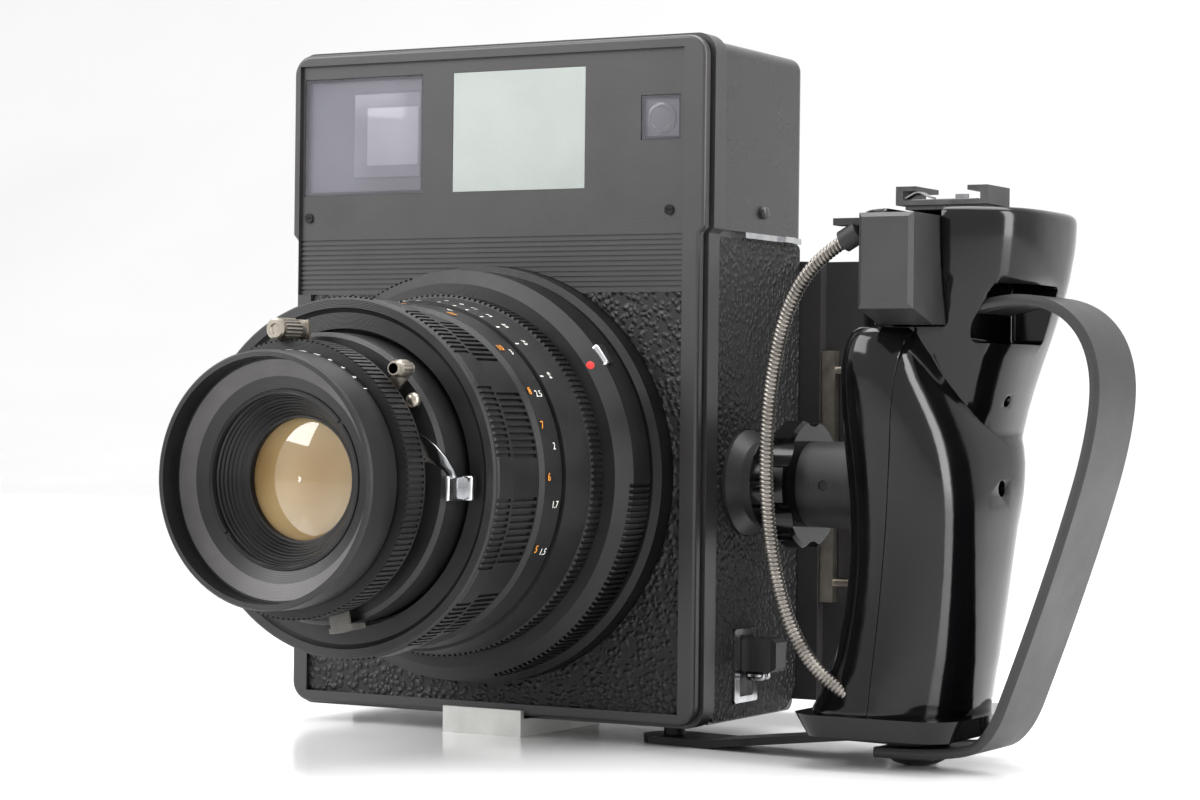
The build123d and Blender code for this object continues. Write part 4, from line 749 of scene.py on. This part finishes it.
def turned(piece, angle, across, up):
    """Turn a piece about the Y axis, then shift it across and up by millimetres."""
    a = radians(angle)
    for v in piece.data.vertices:
        x, z = v.co.x, v.co.z
        v.co.x = x * cos(a) - z * sin(a) + across * MM
        v.co.z = x * sin(a) + z * cos(a) + up * MM
    return piece


def lens_trim():
    """The lock ring's tab and dot, the front glass's slotted retaining ring and the focus flange's lip."""
    x, _, z = ahead(0, 49.4, 36.0) / MM
    tab = turned(bar("lock_tab", (-1.0, -34.2, -3.0), (1.5, -30.0, 3.0), 0.9, 4), 36.0, x, z)
    settle(tab, "lock_tab", "lock_ring", CHROME)
    dot = lathe("lock_dot", ahead(17.3, 46.9, 34.5) / MM, (0.55, -0.8, 0.3),
                [(0, 1.0), (1.1, 1.0), (1.25, 0.7)], 20)
    settle(dot, "lock_dot", "lock_ring", RED_FILL)
    ring = lathe("retaining_ring", ahead(86.6) / MM, FORWARD, [(0, 20.3), (0.9, 20.3), (1.1, 20.0)], 96)
    bore = lathe("bore", ahead(86.0) / MM, FORWARD, [(0, 19.3), (4, 19.3)], 96)
    ring = joined_shape(ring, bore, "DIFFERENCE")
    slots = turned(bar("slots", (-30, -107, -0.6), (30, -105, 0.6), 0), 40.0, 0, AXIS_MM)
    ring = joined_shape(ring, slots, "DIFFERENCE")
    settle(ring, "retaining_ring", "lens_head", ANODISED_SATIN)
    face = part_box("focus_ring")[0].y / MM
    lip = lathe("flange_lip", (0, face + 0.2, AXIS_MM), FORWARD, [(0, 41.6), (0.6, 41.6), (1.0, 41.1)], 96)
    bore = lathe("bore", (0, face + 1.2, AXIS_MM), FORWARD, [(0, 36.6), (2.4, 39.8)], 96)
    lip = joined_shape(lip, bore, "DIFFERENCE")
    settle(lip, "flange_lip", "focus_ring", ANODISED_SATIN)


# ---------------------------------------------------------------- finder details
def finder_details():
    """What shows behind the panes: the finder's front lens in its mask, and the rangefinder port."""
    mask = bar("finder_mask", (-56.4, -15.4, 135.6), (-21.6, -14.6, 164.4), 0.1, 1)
    settle(mask, "finder_mask", "camera_body", MASK_GREY)
    edge = bar("finder_lens_edge", (-42.5, -15.8, 139.4), (-22.4, -15.2, 160.8), 0.2)
    settle(edge, "finder_lens_edge", "camera_body", LENS_EDGE)
    lens = bar("finder_lens", (-38.4, -16.1, 142.4), (-22.8, -15.7, 157.2), 0.2)
    settle(lens, "finder_lens", "camera_body", PALE_LENS)
    port = bar("range_mask", (42.2, -15.3, 146.8), (52.1, -14.6, 156.7), 0.1, 1)
    settle(port, "range_mask", "camera_body", MASK_GREY)
    # the rangefinder's lens, with the port's shadow painted into its colour
    disc = lathe("range_lens", (46.6, -15.2, 151.7), (0, -1, 0),
                 [(0, 3.9), (0.5, 3.9), (0.8, 3.4), (0.8, 2.9), (0.5, 2.6)])
    settle(disc, "range_lens", "camera_body", PAINTED_SHADE_LENS)


# ---------------------------------------------------------------- body details
def side_details():
    """Small fittings on the grip's side of the body."""
    for name, y, z, r in (("lock_stud_rear", 12.2, 16.0, 1.25), ("lock_stud_front", 9.2, 15.9, 1.25)):
        stud = lathe(name, (SIDE_MM + 1.8, y, z), (1, 0, 0),
                     [(0, r), (3.6, r), (4.3, r * 0.8), (4.6, r * 0.4)], 24)
        settle(stud, name, "back_lock_lever", CHROME, 60)
    cap = lathe("adjuster_cap", (SIDE_MM + 1.4, 15.4, 130.3), (1, 0, 0),
                [(0, 1.6), (0.7, 1.6), (1.2, 1.3), (1.4, 0.7)], 24)
    settle(cap, "adjuster_cap", "camera_body", ENAMEL, 60)
    slot_floor = bar("switch_slot", (SIDE_MM + 0.02, 5.4, 10.6), (SIDE_MM + 0.3, 12.7, 26.2), 0.05, 1)
    settle(slot_floor, "switch_slot", "camera_body", ENAMEL)
    screw = lathe("arm_set_screw", (84, -1.2, ARM_Z), (0, 1, 0), [(0, 1.15), (0.9, 1.15)], 24)
    settle(screw, "arm_set_screw", "camera_body", BLUED)


def back_details():
    """Covering, ribs and fittings of the film back."""
    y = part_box("rear_door")[1].y / MM
    panel = bar("door_leather", (-70, y - 0.3, 20), (70, y + 0.7, 107), 0.6)
    settle(panel, "door_leather", "rear_door", LEATHER)
    for i, x in enumerate((-76, 76)):
        rib = bar("door_rib", (x - 1.6, y - 0.4, 16), (x + 1.6, y + 0.5, 111), 0.5)
        settle(rib, f"door_rib_{i}", "rear_door", ENAMEL)
    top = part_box("film_back_case")[1].z / MM
    for i, x in enumerate((30, 48)):
        window = lathe("counter", (x, 53.0, top - 0.2), (0, 0, 1),
                       [(0, 5.0), (0.9, 5.0), (1.1, 4.6), (1.1, 3.6), (0.8, 3.4)])
        settle(window, f"counter_window_{i}", "camera_body", CHROME if i else GLOSS_ENAMEL)
    eye = lathe("eyepiece_lens", (-39.0, 40.6, 150.0), (0, 1, 0),
                [(0, 5.95), (1.0, 5.95), (1.5, 4.0), (1.7, 1.5)])
    settle(eye, "eyepiece_lens", "camera_body", PALE_LENS, 60)


def shoe_details():
    """The wave of the flat spring under the shoe's lips."""
    floor = 129.9
    wave = bar("shoe_wave", (114.0, -24.2, floor), (121.0, -21.6, floor + 0.35), 0, 1)
    apply(wave, "SUBSURF", levels=4, render_levels=4, subdivision_type="SIMPLE")
    for v in wave.data.vertices:
        t = (v.co.x / MM - 114.0) / 7.0
        v.co.z += 1.3 * MM * sin(pi * t) ** 2
    settle(wave, "shoe_wave", "camera_body", STEEL)


# ---------------------------------------------------------------- stage, light and camera
def stage():
    """A pale seamless table that curves up behind the camera."""
    deselect()
    bpy.ops.mesh.primitive_plane_add(size=1, location=(0, 0, 0))
    sheet = bpy.context.object
    sheet.scale = (9, 6, 1)
    bpy.ops.object.transform_apply(scale=True)
    bpy.ops.object.mode_set(mode="EDIT")
    bpy.ops.mesh.select_all(action="DESELECT")
    bpy.ops.object.mode_set(mode="OBJECT")
    for edge in sheet.data.edges:
        edge.select = all(sheet.data.vertices[v].co.y > 2.9 for v in edge.vertices)
    bpy.ops.object.mode_set(mode="EDIT")
    bpy.ops.mesh.select_mode(type="EDGE")
    bpy.ops.mesh.extrude_region_move(TRANSFORM_OT_translate={"value": (0, 0.0, 4.0)})
    bpy.ops.mesh.select_all(action="SELECT")
    bpy.ops.object.mode_set(mode="OBJECT")
    apply(sheet, "BEVEL", width=1.6, segments=12)
    made, tree, shader, coords = material("pale_gloss_table", {"IOR": 1.45})
    cloud = add(tree, "ShaderNodeTexNoise", {"Scale": 3.0, "Detail": 2.0}, {"Vector": coords})
    colour = add(tree, "ShaderNodeValToRGB", links={"Fac": cloud.outputs["Fac"]},
                 stops=[(0.3, linear("#e6e6e6")), (0.7, linear("#eaeaea"))])
    gloss = add(tree, "ShaderNodeValToRGB", links={"Fac": cloud.outputs["Fac"]},
                stops=[(0.3, grey(0.1)), (0.7, grey(0.18))])
    connect(tree, shader, {"Base Color": colour.outputs["Color"], "Roughness": gloss.outputs["Color"]})
    sheet.data.materials.append(made)
    sheet.name = "table"
    bpy.ops.object.shade_smooth()
    deselect()


def area_light(name, place, target, size, power):
    data = bpy.data.lights.new(name, "AREA")
    data.shape = "RECTANGLE"
    data.size, data.size_y = size
    data.energy = power
    lamp = bpy.data.objects.new(name, data)
    bpy.context.scene.collection.objects.link(lamp)
    lamp.location = place
    lamp.rotation_euler = (Vector(target) - Vector(place)).to_track_quat("-Z", "Y").to_euler()


def lights():
    bpy.context.scene.view_settings.view_transform = "Standard"
    world = bpy.data.worlds.new("studio")
    bpy.context.scene.world = world
    world.use_nodes = True
    backdrop = world.node_tree.nodes["Background"]
    backdrop.inputs["Color"].default_value = linear("#ffffff")
    backdrop.inputs["Strength"].default_value = 1.15
    middle = (0.03, 0.0, 0.08)
    area_light("key_softbox", (-0.9, -0.9, 0.9), middle, (0.9, 0.9), 22)
    area_light("overhead", (0.1, 0.15, 1.1), middle, (1.2, 0.9), 20)
    area_light("side_strip", (1.2, -0.1, 0.45), middle, (0.35, 1.0), 14)


CAMERA_PLACE = Vector((388.54, -653.41, 82.24)) * MM
CAMERA_YAW = radians(29.312)
CAMERA_PITCH = radians(0.085)
CAMERA_ROLL = radians(0.663)
CAMERA_LENS = 89.84


def camera():
    forward = Vector((-sin(CAMERA_YAW) * cos(CAMERA_PITCH), cos(CAMERA_YAW) * cos(CAMERA_PITCH),
                      sin(CAMERA_PITCH)))
    right = Vector((cos(CAMERA_YAW), sin(CAMERA_YAW), 0))
    up = right.cross(forward)
    turned_right = right * cos(CAMERA_ROLL) + up * sin(CAMERA_ROLL)
    turned_up = up * cos(CAMERA_ROLL) - right * sin(CAMERA_ROLL)
    data = bpy.data.cameras.new("camera")
    data.sensor_width = 36
    data.lens = CAMERA_LENS
    data.clip_start = 0.01
    holder = bpy.data.objects.new("camera", data)
    bpy.context.scene.collection.objects.link(holder)
    basis = Matrix((turned_right, turned_up, -forward)).transposed()
    holder.matrix_world = Matrix.Translation(CAMERA_PLACE) @ basis.to_4x4()
    bpy.context.scene.camera = holder


grip_halves()
hand_strap()
scales()
lever_heads()
release_blade()
lens_trim()
finder_details()
side_details()
back_details()
shoe_details()

stage()
lights()
camera()

bpy.context.view_layer.update()
